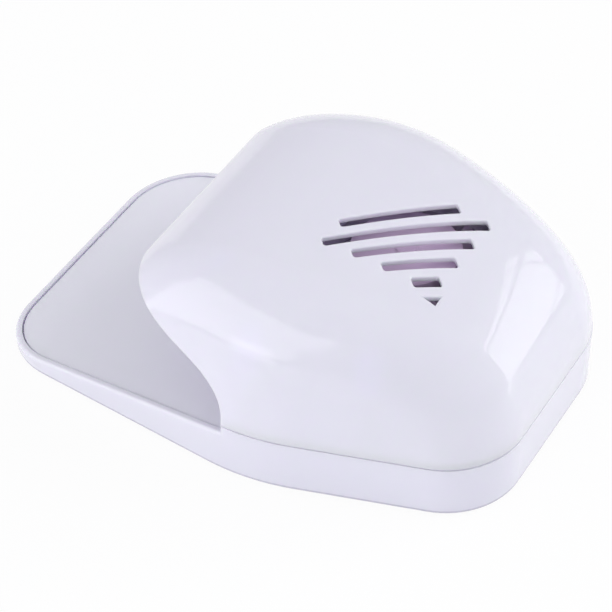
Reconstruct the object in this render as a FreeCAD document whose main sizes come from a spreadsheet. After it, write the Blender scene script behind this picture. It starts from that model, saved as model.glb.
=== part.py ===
"""Battery fan dryer for nail polish: a wedge-fronted base with a press plate, under a domed hood.

Millimetres. +X runs from the open front to the rear, +Z is up, and the origin lies on the table
under the middle of the dryer. Every size is a named cell of the sheet "Dims"; the objects are
bound to those cells, and what fits together is worked out from the same cells.
"""
import FreeCAD, Part
import math
import os
import re
import Sketcher

Vec = FreeCAD.Vector

SIZES = {
    # Outline of the case, seen from above, at the seam between base and hood
    "length": 139.0,
    "nose_reach": 0.45,
    "front_half": 41.1,
    "middle_half": 49.7,
    "rear_half": 33.0,
    "middle_x": 11.7,
    "front_corner": 19.3,
    "middle_corner": 60.0,
    "rear_corner": 20.3,
    # Base
    "wall": 1.9,
    "base_draft": 0.8,
    "foot_lift": 0.3,
    "floor_thick": 1.2,
    "bottom_round": 0.5,
    "seam_height": 15.3,
    "seam_gap": 0.35,
    "tongue_inset": 0.95,
    "tongue_height": 1.3,
    "tongue_play": 0.15,
    "rim_front_z": 2.65,
    "rim_foot_z": 12.8,
    "rim_round": 0.9,
    # Hood
    "hood_wall": 1.4,
    "skin_drop": 6.0,
    "crown_height": 51.9,
    "crown_x": 9.5,
    "front_reach": 49.9,
    "front_power": 2.1,
    "rear_power": 2.25,
    "side_draft": 7.0,
    "shoulder_round": 21.0,
    "mouth_foot_x": 4.8,
    "lip_x": -27.1,
    "lip_z": 39.0,
    "mouth_curve": 2.9,
    # Vent slots: five bars and one small triangle, turned 45 degrees, over the fan
    "vent_turn": 45.0,
    "slot_length": 41.5,
    "slot_step": 11.5,
    "slot_pitch": 5.42,
    "slot_width": 2.8,
    "slot_corner": 0.7,
    "vent_tip_width": 4.4,
    "vent_tip_depth": 2.3,
    "vent_round": 0.4,
    # Press plate and its pivot
    "plate_gap": 0.35,
    "plate_drop": 0.3,
    "plate_thick": 1.6,
    "plate_lift": 0.15,
    "plate_edge_round": 0.3,
    "plate_rear_gap": 0.6,
    "tongue_half": 38.0,
    "tongue_start": 1.4,
    "pivot_setback": 15.5,
    "pivot_z": 3.1,
    "pin_radius": 0.75,
    "pin_play": 0.05,
    "pin_length": 4.0,
    "pin_reach": 41.5,
    # Return springs under the plate
    "spring_x": 8.0,
    "spring_y": 24.0,
    "spring_radius": 2.7,
    "spring_wire": 0.3,
    "spring_turns": 5.0,
    "spring_end_gap": 0.3,
    # Switch
    "switch_setback": 7.2,
    "switch_length": 10.0,
    "switch_width": 6.4,
    "switch_height": 6.2,
    "plunger_radius": 1.3,
    "plunger_play": 0.1,
    "plunger_length": 4.7,
    "plunger_rise": 2.6,
    "rib_gap": 0.3,
    "rib_thick": 2.0,
    "rib_width": 6.0,
    # Battery bay across the rear
    "cell_radius": 7.25,
    "cell_body": 49.5,
    "nub_radius": 2.75,
    "nub_length": 1.0,
    "cell_gap": 0.4,
    "cell_lift": 0.3,
    "cell_play": 0.65,
    "bay_depth": 39.3,
    "bulkhead_thick": 1.2,
    "bulkhead_top": 18.0,
    "bulkhead_half": 39.0,
    "bay_half": 28.6,
    "bay_wall": 1.4,
    "bay_wall_top": 14.0,
    "contact_thick": 0.4,
    "contact_width": 10.0,
    "contact_touch": 0.05,
    "cell_spring_radius": 3.2,
    "cell_spring_wire": 0.25,
    "cell_spring_turns": 4.0,
    # Battery door
    "door_half": 28.3,
    "door_play": 0.3,
    "door_front_gap": 0.5,
    "door_rear_gap": 1.2,
    "tab_y": 18.0,
    "tab_width": 6.0,
    "tab_reach": 2.7,
    "tab_thick": 1.0,
    "catch_width": 9.0,
    "catch_height": 2.4,
    "catch_thick": 1.2,
    "pad_width": 4.0,
    "pad_length": 30.0,
    "pad_thick": 1.4,
    # Posts and screws
    "front_post_x": 10.5,
    "front_post_y": 43.0,
    "rear_post_setback": 31.5,
    "rear_post_y": 35.5,
    "post_radius": 2.8,
    "base_post_radius": 3.4,
    "shoulder_radius": 3.8,
    "bolt_radius": 1.25,
    "bolt_play": 0.25,
    "bolt_length": 15.0,
    "head_radius": 2.1,
    "head_height": 1.3,
    "head_play": 0.2,
    "head_depth": 5.0,
    "cross_width": 0.7,
    "cross_depth": 0.6,
    # Air guide: the deck over the finger space
    "deck_drop": 21.4,
    "deck_thick": 2.0,
    "deck_inset": 6.2,
    "deck_front_x": -12.5,
    "deck_setback": 15.5,
    "tail_half": 27.0,
    "tail_gap": 2.0,
    "deck_play": 0.2,
    "guide_screw_x": -4.5,
    "guide_screw_y": 30.0,
    "guide_bolt_length": 7.0,
    "deflector_half": 27.0,
    "deflector_thick": 1.4,
    "fan_setback": 40.9,
    "shroud_inner": 22.0,
    "shroud_wall": 1.2,
    "shroud_height": 6.0,
    "grille_radius": 21.5,
    "grille_hub": 13.3,
    "grille_ring": 17.0,
    "grille_bar": 1.2,
    "spoke_count": 6.0,
    # Motor
    "motor_radius": 12.1,
    "motor_wall": 0.6,
    "cap_radius": 11.8,
    "cap_height": 1.8,
    "can_height": 8.3,
    "nose_radius": 3.0,
    "nose_height": 0.6,
    "socket_play": 0.2,
    "socket_wall": 1.2,
    "shaft_radius": 1.0,
    "shaft_play": 0.04,
    "bush_radius": 1.6,
    "magnet_inner": 9.8,
    "magnet_play": 0.05,
    "armature_radius": 9.2,
    "motor_screw_offset": 8.0,
    "motor_bolt_radius": 0.95,
    "motor_bolt_length": 2.6,
    # Fan
    "cup_clearance": 0.6,
    "cup_wall": 0.9,
    "cup_top": 1.3,
    "cup_round": 0.8,
    "cup_lift": 0.7,
    "blade_outer": 20.6,
    "blade_chord": 9.0,
    "blade_pitch": 35.0,
    "blade_thick": 0.9,
    "blade_count": 7.0,
    "nose_gap": 0.3,
    # Feet
    "foot_radius": 3.0,
    "foot_sink": 0.4,
    "foot_play": 0.1,
    "foot_setback": 19.5,
    "front_foot_y": 31.0,
    "rear_foot_y": 31.8,
    # Leads
    "lead_radius": 0.6,
    "lead_y": 32.3,
    "lead_floor_z": 3.2,
    "notch_width": 3.0,
    "notch_height": 3.0,
    "lead_tail": 1.5,
    "lead_bend": 5.0,
    "lead_sweep": 12.0,
    "lead_rise": 9.0,
    "lead_hop": 3.4,
    "lead_touch": 0.05,
    "lead_wall_gap": 1.05,
    "solder_height": 1.9,
    "tail_length": 2.6,
    "tail_height": 1.7,
    "tab_out": 2.4,
    "deck_clearance": 0.25,
    "hole_setback": 1.2,
}

# Places that follow from the sizes above; each is a formula in its own cell of the sheet
PLACES = {
    "deck_z": "crown_height - deck_drop",
    "bulkhead_x": "length / 2 - bay_depth",
    "switch_x": "bulkhead_x - switch_setback",
    "fan_x": "length / 2 - fan_setback",
    "deck_rear_x": "length / 2 - deck_setback",
    "rear_post_x": "length / 2 - rear_post_setback",
    "pivot_x": "pivot_setback - length / 2",
    "front_foot_x": "foot_setback - length / 2",
    "rear_foot_x": "length / 2 - foot_setback",
}

# Heights and places that several pieces share, as formulas on the cells above
FLOOR_TOP = "(foot_lift + floor_thick)"
BASE_TOP = "(seam_height - seam_gap / 2)"
HOOD_BOTTOM = "(seam_height + seam_gap / 2)"
DECK_TOP = "(deck_z + deck_thick)"
CELL_Z = "(foot_lift + floor_thick + cell_lift + cell_radius)"
FRONT_CELL_X = "(bulkhead_x + bulkhead_thick + cell_play + cell_radius)"
REAR_CELL_X = "(bulkhead_x + bulkhead_thick + cell_play + 3 * cell_radius + cell_gap)"
DOOR_FRONT = "(bulkhead_x + bulkhead_thick + door_front_gap)"
DOOR_REAR = "(bulkhead_x + bulkhead_thick + cell_play + 4 * cell_radius + cell_gap + door_rear_gap)"
CAP_TOP = "(deck_z + deck_thick + cap_height)"
CAN_TOP = "(deck_z + deck_thick + cap_height + can_height)"
CUP_TOP = "(deck_z + deck_thick + cap_height + can_height + nose_height + nose_gap + cup_top)"
SHAFT_TOP = "(deck_z + deck_thick + cap_height + can_height + nose_height + nose_gap + cup_top + 0.2)"
CUP_BOTTOM = "(deck_z + deck_thick + cap_height + cup_lift)"
RIM_SLOPE = "((rim_foot_z - rim_front_z) / (mouth_foot_x + length / 2))"
PLATE_REAR = "(bulkhead_x - plate_rear_gap)"
SWITCH_TOP = "(foot_lift + floor_thick + switch_height)"
CASE_POSTS = [("front_post_x", "front_post_y"), ("rear_post_x", "rear_post_y")]
SIDES = [("near", "-1"), ("far", "1")]

doc = FreeCAD.newDocument("NailDryer")
parts = []


def formula(text):
    """Point every size name in a formula at its cell of the sheet."""
    def cell(match):
        word = match.group()
        return "Dims." + word if word in SIZES or word in PLACES else word
    return re.sub(r"[a-z_]+", cell, text)


def fill_sheet():
    """Write each size in the sheet, with its name as the cell's alias."""
    sheet = doc.addObject("Spreadsheet::Sheet", "Dims")
    cells = {**SIZES, **{name: "=" + text for name, text in PLACES.items()}}
    for row, (name, value) in enumerate(cells.items(), start=1):
        sheet.set("A%d" % row, name)
        sheet.set("B%d" % row, str(value))
        sheet.setAlias("B%d" % row, name)
    doc.recompute()
    return sheet


dims = fill_sheet()


def size(name):
    """The number in a named cell."""
    return float(dims.get(name))


def rim_at(place):
    """Formula for the height of the base's sloping rim at a place along X."""
    return "(rim_front_z + %s * (%s + length / 2))" % (RIM_SLOPE, place)


def plate_top_at(place):
    return "(%s - plate_drop)" % rim_at(place)


def plate_under_at(place):
    return "(%s - plate_drop - plate_thick)" % rim_at(place)


PATHS = {"x": "Placement.Base.x", "y": "Placement.Base.y", "z": "Placement.Base.z"}
TURNS = {
    "X": FreeCAD.Rotation(Vec(0, 1, 0), 90),
    "Y": FreeCAD.Rotation(Vec(1, 0, 0), -90),
    "Z": FreeCAD.Rotation(),
    "XZ": FreeCAD.Rotation(Vec(1, 0, 0), 90),
    "XY": FreeCAD.Rotation(),
}


def bind(item, **formulas):
    """Bind properties of an object to formulas on the sheet."""
    for name, text in formulas.items():
        item.setExpression(PATHS.get(name, name), formula(text))
    return item


def block(name, x, y, z, dx, dy, dz):
    """A box from its low corner and its lengths."""
    item = doc.addObject("Part::Box", name)
    return bind(item, x=x, y=y, z=z, Length=dx, Width=dy, Height=dz)


def middle_block(name, x, z, dx, half, dz):
    """A box centred on the dryer's middle plane."""
    return block(name, x, "-(%s)" % half, z, dx, "2 * (%s)" % half, dz)


def rod(name, x, y, z, radius, height, axis="Z"):
    """A cylinder from the centre of its low end."""
    item = doc.addObject("Part::Cylinder", name)
    item.Placement = FreeCAD.Placement(Vec(), TURNS[axis])
    return bind(item, x=x, y=y, z=z, Radius=radius, Height=height)


def cut(name, base, *tools):
    """The base with every tool taken away."""
    item = doc.addObject("Part::Cut", name)
    item.Base = base
    item.Tool = tools[0] if len(tools) == 1 else join(name + "_tools", *tools)
    return item


def join(name, *pieces):
    """Several shapes fused into one."""
    item = doc.addObject("Part::MultiFuse", name)
    item.Shapes = list(pieces)
    return item


def common(name, first, second):
    """What two shapes share."""
    item = doc.addObject("Part::Common", name)
    item.Base = first
    item.Tool = second
    return item


def group(name, *pieces):
    """Separate solids kept together as one sub-part."""
    item = doc.addObject("Part::Compound", name)
    item.Links = list(pieces)
    return item


def mirrored(name, source):
    """The same shape on the other side of the middle plane."""
    item = doc.addObject("Part::Mirroring", name)
    item.Source = source
    item.Normal = Vec(0, 1, 0)
    return item


def both_sides(name, source):
    return group(name, source, mirrored(name + "_twin", source))


def fillet_edges(name, base, radius, chosen):
    """Round the edges of a shape that a test picks out."""
    doc.recompute()
    item = doc.addObject("Part::Fillet", name)
    item.Base = base
    picked = [i for i, edge in enumerate(base.Shape.Edges, start=1) if chosen(edge)]
    item.Edges = [(i, radius, radius) for i in picked]
    return item


def part(item, label):
    """Record a finished sub-part under the name that its file gets."""
    item.Label = label
    parts.append(item)
    return item


def draw_corners(sketch, corners):
    """Draw a closed run of straight lines whose corners are bound to pairs of formulas."""
    count = len(corners)
    angles = [2 * math.pi * i / count for i in range(count)]
    ring = [Vec(math.cos(angle), math.sin(angle), 0) for angle in angles]
    for i in range(count):
        sketch.addGeometry(Part.LineSegment(ring[i], ring[(i + 1) % count]))
    for i, (across, up) in enumerate(corners):
        sketch.addConstraint(Sketcher.Constraint("Coincident", i, 2, (i + 1) % count, 1))
        for kind, text in (("DistanceX", across), ("DistanceY", up)):
            number = sketch.addConstraint(Sketcher.Constraint(kind, -1, 1, i, 1, 1.0))
            sketch.setExpression("Constraints[%d]" % number, formula(text))
    return sketch


def profile(name, corners, plane="XZ"):
    """A free sketch of straight lines on the XZ or the XY plane."""
    sketch = doc.addObject("Sketcher::SketchObject", name)
    sketch.Placement = FreeCAD.Placement(Vec(), TURNS[plane])
    return draw_corners(sketch, corners)


def extrude(name, base, length, direction=Vec(0, 0, 1), centred=False):
    """A solid swept from a closed profile along a direction."""
    item = doc.addObject("Part::Extrusion", name)
    item.Base = base
    item.DirMode = "Custom"
    item.Dir = direction
    item.Solid = True
    item.Symmetric = centred
    return bind(item, LengthFwd=length)


def slab(name, corners, width):
    """A profile in the XZ plane, widened evenly to both sides."""
    return extrude(name, profile(name + "_profile", corners), width, Vec(0, 1, 0), centred=True)


def body_sketch(body, name, corners, role="XZ_Plane"):
    """A sketch of straight lines on one of a body's own origin planes."""
    sketch = body.newObject("Sketcher::SketchObject", name)
    plane = [f for f in body.Origin.OriginFeatures if f.Role == role][0]
    sketch.AttachmentSupport = [(plane, "")]
    sketch.MapMode = "FlatFace"
    return draw_corners(sketch, corners)


def turned_body(name, corners, x="0", y="0", z="0"):
    """A body turned about Z from a profile of (radius, height) corners."""
    body = doc.addObject("PartDesign::Body", name)
    sketch = body_sketch(body, name + "_profile", corners)
    turn = body.newObject("PartDesign::Revolution", name + "_turn")
    turn.Profile = sketch
    turn.ReferenceAxis = (sketch, ["V_Axis"])
    turn.Angle = 360
    return bind(body, x=x, y=y, z=z)


def tube_corners(inner, outer, low, high):
    """The profile corners of a plain ring."""
    return [(inner, low), (outer, low), (outer, high), (inner, high)]


# ---------------------------------------------------------------- outline of the case

def tangent_corner(before, corner, after, radius):
    """The two tangent points and the centre of an arc that rounds a corner."""
    back = (before - corner).normalize()
    ahead = (after - corner).normalize()
    half = back.getAngle(ahead) / 2
    run = radius / math.tan(half)
    centre = corner + (back + ahead).normalize() * (radius / math.sin(half))
    return corner + back * run, corner + ahead * run, centre


def rounded_sketch(name, points):
    """A closed run of straight sides whose corners are all rounded: (x, y, radius, rough corner) each."""
    count = len(points)
    rounds = []
    for i, (_, _, radius, corner) in enumerate(points):
        ahead = points[(i + 1) % count][3]
        rounds.append(tangent_corner(points[i - 1][3], corner, ahead, number_of(radius)))
    sketch = doc.addObject("Sketcher::SketchObject", name)
    for i in range(count):
        sketch.addGeometry(Part.LineSegment(rounds[i][1], rounds[(i + 1) % count][0]))
    for i, (start, end, centre) in enumerate(rounds):
        circle = Part.Circle(centre, Vec(0, 0, 1), number_of(points[i][2]))
        first = math.atan2(start.y - centre.y, start.x - centre.x)
        last = math.atan2(end.y - centre.y, end.x - centre.x)
        sketch.addGeometry(Part.ArcOfCircle(circle, first, last))
    for i, (across, up, radius, corner) in enumerate(points):
        arc = count + i
        sketch.addConstraint(Sketcher.Constraint("Tangent", (i - 1) % count, 2, arc, 1))
        sketch.addConstraint(Sketcher.Constraint("Tangent", i, 1, arc, 2))
        number = sketch.addConstraint(Sketcher.Constraint("Radius", arc, number_of(radius)))
        sketch.setExpression("Constraints[%d]" % number, formula(radius))
        mark = sketch.addGeometry(Part.Point(corner), True)
        sketch.addConstraint(Sketcher.Constraint("PointOnObject", mark, 1, (i - 1) % count))
        sketch.addConstraint(Sketcher.Constraint("PointOnObject", mark, 1, i))
        for kind, text, value in (("DistanceX", across, corner.x), ("DistanceY", up, corner.y)):
            number = sketch.addConstraint(Sketcher.Constraint(kind, -1, 1, mark, 1, value))
            sketch.setExpression("Constraints[%d]" % number, formula(text))
    return sketch


def number_of(text):
    """The value of a radius given either as a cell's name or as a plain number."""
    return size(text) if text in SIZES else float(text)


def outline_sketch():
    """The case seen from above: six sides whose corners are all rounded."""
    end, middle = size("length") / 2, size("middle_x")
    nose = end + size("nose_reach")
    front, wide, rear = size("front_half"), size("middle_half"), size("rear_half")
    return rounded_sketch("case_outline", [
        ("-length / 2 - nose_reach", "-front_half", "front_corner", Vec(-nose, -front, 0)),
        ("middle_x", "-middle_half", "middle_corner", Vec(middle, -wide, 0)),
        ("length / 2", "-rear_half", "rear_corner", Vec(end, -rear, 0)),
        ("length / 2", "rear_half", "rear_corner", Vec(end, rear, 0)),
        ("middle_x", "middle_half", "middle_corner", Vec(middle, wide, 0)),
        ("-length / 2 - nose_reach", "front_half", "front_corner", Vec(-nose, front, 0)),
    ])


outline = outline_sketch()


def inset_prism(name, inset, low, high):
    """A solid inside the case outline, a given distance in from it."""
    ring = doc.addObject("Part::Offset2D", name + "_ring")
    ring.Source = outline
    ring.Join = 0
    bind(ring, Value="-(%s)" % inset)
    return bind(extrude(name, ring, "(%s) - (%s)" % (high, low)), z=low)


def rounded_base_block():
    """The outer form of the base: drafted sides, a sloping front and rounded edges."""
    tub = extrude("base_tub", outline, "%s - foot_lift" % BASE_TOP, Vec(0, 0, -1))
    bind(tub, z=BASE_TOP, TaperAngle="-base_draft")
    ahead = "(-length / 2 - 5)"
    above = slab("base_front_cut", [
        (ahead, rim_at(ahead)), ("mouth_foot_x", "rim_foot_z"),
        ("mouth_foot_x", "seam_height + 5"), (ahead, "seam_height + 5"),
    ], "4 * middle_half")
    wedge = cut("base_wedge", tub, above)
    slope = (size("rim_foot_z") - size("rim_front_z")) / (size("mouth_foot_x") + size("length") / 2)

    def on_rim(edge):
        ends = [v.Point for v in edge.Vertexes]
        level = all(abs(size("rim_front_z") + slope * (p.x + size("length") / 2) - p.z) < 0.01 for p in ends)
        return level and min(p.x for p in ends) < size("mouth_foot_x") - 0.5

    def on_bottom(edge):
        return edge.BoundBox.ZMax < size("foot_lift") + 0.01

    rimmed = fillet_edges("base_rimmed", wedge, size("rim_round"), on_rim)
    return fillet_edges("base_rounded", rimmed, size("bottom_round"), on_bottom)


def base_posts():
    """Four posts that take the case screws from below, with their bores."""
    posts = []
    bores = []
    for name, (x, y) in zip(("front", "rear"), CASE_POSTS):
        for side, sign in SIDES:
            place = "%s * %s" % (sign, y)
            stem = "base_post_%s_%s" % (name, side)
            posts.append(rod(stem, x, place, FLOOR_TOP, "base_post_radius",
                             "%s - %s" % (BASE_TOP, FLOOR_TOP)))
            bores.append(rod(stem + "_bore", x, place, "0", "bolt_radius + bolt_play", "seam_height + 2"))
            bores.append(rod(stem + "_head", x, place, "0", "head_radius + head_play",
                             "foot_lift + head_depth + head_height"))
    return posts, bores


def base_bay():
    """The battery bay's bulkhead and end walls, with the passages for tabs and leads."""
    rise = "bulkhead_top - %s" % FLOOR_TOP
    bulkhead = middle_block("bulkhead", "bulkhead_x", FLOOR_TOP, "bulkhead_thick", "bulkhead_half", rise)
    stop = middle_block("plate_stop", "bulkhead_x - plate_rear_gap - 1",
                        "%s + 0.3" % plate_top_at(PLATE_REAR), "plate_rear_gap + 1", "8", "1")
    walls = [bulkhead, stop]
    cuts = []
    for side, sign in SIDES:
        low = "bay_half" if side == "far" else "-bay_half - bay_wall"
        walls.append(block("bay_wall_" + side, "bulkhead_x", low, FLOOR_TOP,
                           "%s - bulkhead_x" % DOOR_REAR, "bay_wall", "bay_wall_top - %s" % FLOOR_TOP))
        cuts.append(block("lead_notch_" + side, "bulkhead_x - 1", "%s * lead_y - notch_width / 2" % sign,
                          FLOOR_TOP, "bulkhead_thick + 2", "notch_width", "notch_height"))
        cuts.append(block("tab_window_" + side, "bulkhead_x - 1", "%s * tab_y - tab_width / 2 - 0.4" % sign,
                          FLOOR_TOP, "bulkhead_thick + 2", "tab_width + 0.8", "tab_reach + 1"))
    for name, place in (("positive", FRONT_CELL_X), ("negative", REAR_CELL_X)):
        cuts.append(block(name + "_slit", place + " - 1", "-bay_half - bay_wall - 1", "lead_floor_z + 1.4",
                          "2", "bay_wall + 2", "1"))
    return walls, cuts


def base_small_features():
    """Seats for the springs, the switch and the feet, and the holes for the plate's pins."""
    seats = []
    cuts = []
    ribs_y = "switch_width / 2 + 0.1"
    for side, sign in SIDES:
        seats.append(rod("spring_seat_" + side, "spring_x", "%s * spring_y" % sign, FLOOR_TOP,
                         "spring_radius - 2 * spring_wire - 0.2", "3"))
        low = ribs_y if side == "far" else "-(%s) - 1.2" % ribs_y
        seats.append(block("switch_rib_" + side, "switch_x - switch_length / 2 - 1", low, FLOOR_TOP,
                           "switch_length + 2", "1.2", "1.4"))
        start = "pin_reach - pin_length" if side == "far" else "-pin_reach - 0.1"
        cuts.append(rod("pivot_hole_" + side, "pivot_x", start, "pivot_z", "pin_radius + pin_play",
                        "pin_length + 0.1", "Y"))
        for name in ("front", "rear"):
            cuts.append(rod("foot_recess_%s_%s" % (name, side), name + "_foot_x",
                            "%s * %s_foot_y" % (sign, name), "0", "foot_radius + foot_play",
                            "foot_lift + foot_sink"))
    return seats, cuts


def build_base():
    """The lower case: tub, rim, tongue, posts, battery bay and small seats in one moulding."""
    outer = rounded_base_block()
    hollow = inset_prism("base_hollow", "wall", FLOOR_TOP, "seam_height + 5")
    shell = cut("base_open", outer, hollow)
    ring_outer = inset_prism("tongue_outer", "tongue_inset", "seam_height - 3", "seam_height + tongue_height")
    ring_inner = inset_prism("tongue_inner", "wall", "seam_height - 4", "seam_height + tongue_height + 1")
    ring = cut("tongue_ring", ring_outer, ring_inner)
    keep = middle_block("tongue_keep", "mouth_foot_x + tongue_start", "0", "length", "2 * middle_half", "40")
    tongue = common("tongue", ring, keep)
    posts, bores = base_posts()
    walls, wall_cuts = base_bay()
    seats, seat_cuts = base_small_features()
    doorway = middle_block("doorway", DOOR_FRONT, "0", "%s - %s" % (DOOR_REAR, DOOR_FRONT), "door_half",
                           FLOOR_TOP)
    solid = join("base_solid", shell, tongue, *posts, *walls, *seats)
    part(cut("base_cut", solid, doorway, *bores, *wall_cuts, *seat_cuts), "base_shell")


# ---------------------------------------------------------------- hood

def crown_point(angle, ahead, inset):
    """A point of the hood's middle profile, set in along its normal; the angle runs down from the crown."""
    power = size("front_power") if ahead else size("rear_power")
    reach = size("front_reach") if ahead else size("length") / 2 - size("crown_x")
    rise = size("crown_height") - size("seam_height")
    across, up = math.sin(angle), math.cos(angle)
    scale = (across ** power + up ** power) ** (-1 / power)
    across, up = across * scale, up * scale
    steep = Vec(across ** (power - 1) / reach, 0, up ** (power - 1) / rise).normalize()
    side = -1 if ahead else 1
    x = size("crown_x") + side * (reach * across - inset * steep.x)
    return Vec(x, 0, size("seam_height") + rise * up - inset * steep.z)


def crown_curve(inset):
    """The hood's middle profile as one curve, from ahead of the lip over the crown to below the seam."""
    front = [crown_point(math.radians(angle), True, inset) for angle in range(64, 0, -8)]
    rear = [crown_point(math.radians(angle), False, inset) for angle in range(0, 88, 8)]
    foot = crown_point(math.pi / 2, False, inset)
    below = [foot - Vec(0, 0, drop * size("skin_drop")) for drop in (0, 0.5, 1)]
    curve = Part.BSplineCurve()
    curve.interpolate(front + rear + below)
    return curve.toShape()


def side_sketch():
    """The hood's two long sides seen from above, run on past the rear."""
    behind = "(length / 2 + 12)"
    narrow = "(rear_half - 12 * (middle_half - rear_half) / (length / 2 - middle_x))"
    slope = (size("middle_half") - size("rear_half")) / (size("length") / 2 - size("middle_x"))
    far_x, far_y = size("length") / 2 + 12, size("rear_half") - 12 * slope
    front_x, front_y = -size("length") / 2, size("front_half")
    middle_x, middle_y = size("middle_x"), size("middle_half")
    return rounded_sketch("side_outline", [
        ("-length / 2", "-front_half", "4", Vec(front_x, -front_y, 0)),
        ("middle_x", "-middle_half", "middle_corner", Vec(middle_x, -middle_y, 0)),
        (behind, "-%s" % narrow, "4", Vec(far_x, -far_y, 0)),
        (behind, narrow, "4", Vec(far_x, far_y, 0)),
        ("middle_x", "middle_half", "middle_corner", Vec(middle_x, middle_y, 0)),
        ("-length / 2", "front_half", "4", Vec(front_x, front_y, 0)),
    ])


def dome(name, sides, inset, radius):
    """A closed dome: the middle profile swept across, between leaning sides, rounded where they meet."""
    curve = crown_curve(inset)
    start, end = curve.Vertexes[0].Point, curve.Vertexes[-1].Point
    corner = Vec(start.x, 0, end.z)
    lines = [Part.LineSegment(end, corner).toShape(), Part.LineSegment(corner, start).toShape()]
    face = Part.Face(Part.Wire([curve] + lines))
    face.translate(Vec(0, -size("length"), 0))
    arch = doc.addObject("Part::Feature", name + "_arch")
    arch.Shape = face.extrude(Vec(0, 2 * size("length"), 0))
    ring = doc.addObject("Part::Offset2D", name + "_ring")
    ring.Source = sides
    ring.Join = 0
    bind(ring, Value="skin_drop * tan(side_draft) - %s / cos(side_draft)" % inset)
    walls = extrude(name + "_walls", ring, "crown_height")
    bind(walls, z="seam_height - skin_drop", TaperAngle="-side_draft")
    block_shape = common(name + "_blank", arch, walls)

    def on_crown(edge):
        middle = edge.valueAt((edge.FirstParameter + edge.LastParameter) / 2)
        flat = Part.Vertex(Vec(middle.x, 0, middle.z))
        return abs(middle.y) > 5 and middle.x > start.x + 0.1 and curve.distToShape(flat)[0] < 0.01

    return fillet_edges(name, block_shape, radius, on_crown)


def mouth_tool():
    """The space in front of the hood's mouth: an S-curved cut from the foot up to the lip."""
    foot, lip = size("mouth_foot_x"), size("lip_x")
    low, high = size("seam_height"), size("lip_z")
    curve = []
    for i in range(13):
        share = 1.25 * i / 12
        curve.append(Vec(foot + (lip - foot) * share ** size("mouth_curve"), 0, low + (high - low) * share))
    edge = Part.BSplineCurve()
    edge.interpolate(curve)
    ahead = -size("length")
    corners = [curve[-1], Vec(ahead, 0, curve[-1].z), Vec(ahead, 0, 0), Vec(foot, 0, 0), curve[0]]
    edges = [edge.toShape()]
    for start, end in zip(corners, corners[1:]):
        edges.append(Part.LineSegment(start, end).toShape())
    face = Part.Face(Part.Wire(edges))
    face.translate(Vec(0, -2 * size("middle_half"), 0))
    item = doc.addObject("Part::Feature", "mouth_tool")
    item.Shape = face.extrude(Vec(0, 4 * size("middle_half"), 0))
    return item


def vent_tool():
    """The vent slots: bars that grow shorter away from the longest one, and a last triangle."""
    bars = []
    for step in (1, 0, -1, -2, -3):
        length = "(slot_length - %d * slot_step)" % abs(step)
        middle = "(%d * slot_pitch)" % step
        bar = block("slot_%d" % (1 - step), "-%s / 2" % length, "%s - slot_width / 2" % middle, "deck_z + 8",
                    length, "slot_width", "crown_height")
        bars.append(fillet_edges("slot_%d_round" % (1 - step), bar, size("slot_corner"),
                                 lambda edge: edge.BoundBox.ZLength > 5))
    top = "-3.8 * slot_pitch"
    tip = profile("vent_tip_profile", [
        ("-vent_tip_width / 2", top), ("0", "%s - vent_tip_depth" % top), ("vent_tip_width / 2", top),
    ], "XY")
    bars.append(bind(extrude("vent_tip", tip, "crown_height"), z="deck_z + 8"))
    fan_of_bars = join("vents", *bars)
    fan_of_bars.Placement = FreeCAD.Placement(Vec(), FreeCAD.Rotation(Vec(0, 0, 1), size("vent_turn")))
    return bind(fan_of_bars, x="fan_x")


def vent_edge_test(outer):
    """A test that picks out the edges where the vents break the outer skin."""
    reach = size("slot_length") / 2 + size("slot_width")
    doc.recompute()
    skin = outer.Shape.Shells[0]

    def on_slot(edge):
        middle = edge.valueAt((edge.FirstParameter + edge.LastParameter) / 2)
        near_fan = math.hypot(middle.x - size("fan_x"), middle.y) < reach and middle.z > size("lip_z")
        return near_fan and skin.distToShape(Part.Vertex(middle))[0] < 0.005

    return on_slot


def hood_posts(heart):
    """The hood's screw posts, which end halfway through its wall, and their pilot holes."""
    rods = []
    holes = []
    rise = "crown_height - %s" % HOOD_BOTTOM
    for name, (x, y) in zip(("front", "rear"), CASE_POSTS):
        for side, sign in SIDES:
            place = "%s * %s" % (sign, y)
            stem = "hood_post_%s_%s" % (name, side)
            rods.append(rod(stem, x, place, HOOD_BOTTOM, "post_radius", rise))
            rods.append(rod(stem + "_shoulder", x, place, "%s + 0.1" % DECK_TOP, "shoulder_radius",
                            "crown_height - %s" % DECK_TOP))
            holes.append(rod(stem + "_hole", x, place, "seam_height", "bolt_radius",
                             "bolt_length + head_depth + head_height + foot_lift + 0.5 - seam_height"))
    for side, sign in SIDES:
        place = "%s * guide_screw_y" % sign
        rods.append(rod("guide_boss_" + side, "guide_screw_x", place, "%s + 0.05" % DECK_TOP, "post_radius",
                        "crown_height - %s" % DECK_TOP))
        holes.append(rod("guide_hole_" + side, "guide_screw_x", place, DECK_TOP, "bolt_radius",
                         "guide_bolt_length + 0.3"))
    return common("hood_bosses", join("hood_rods", *rods), heart), holes


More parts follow.
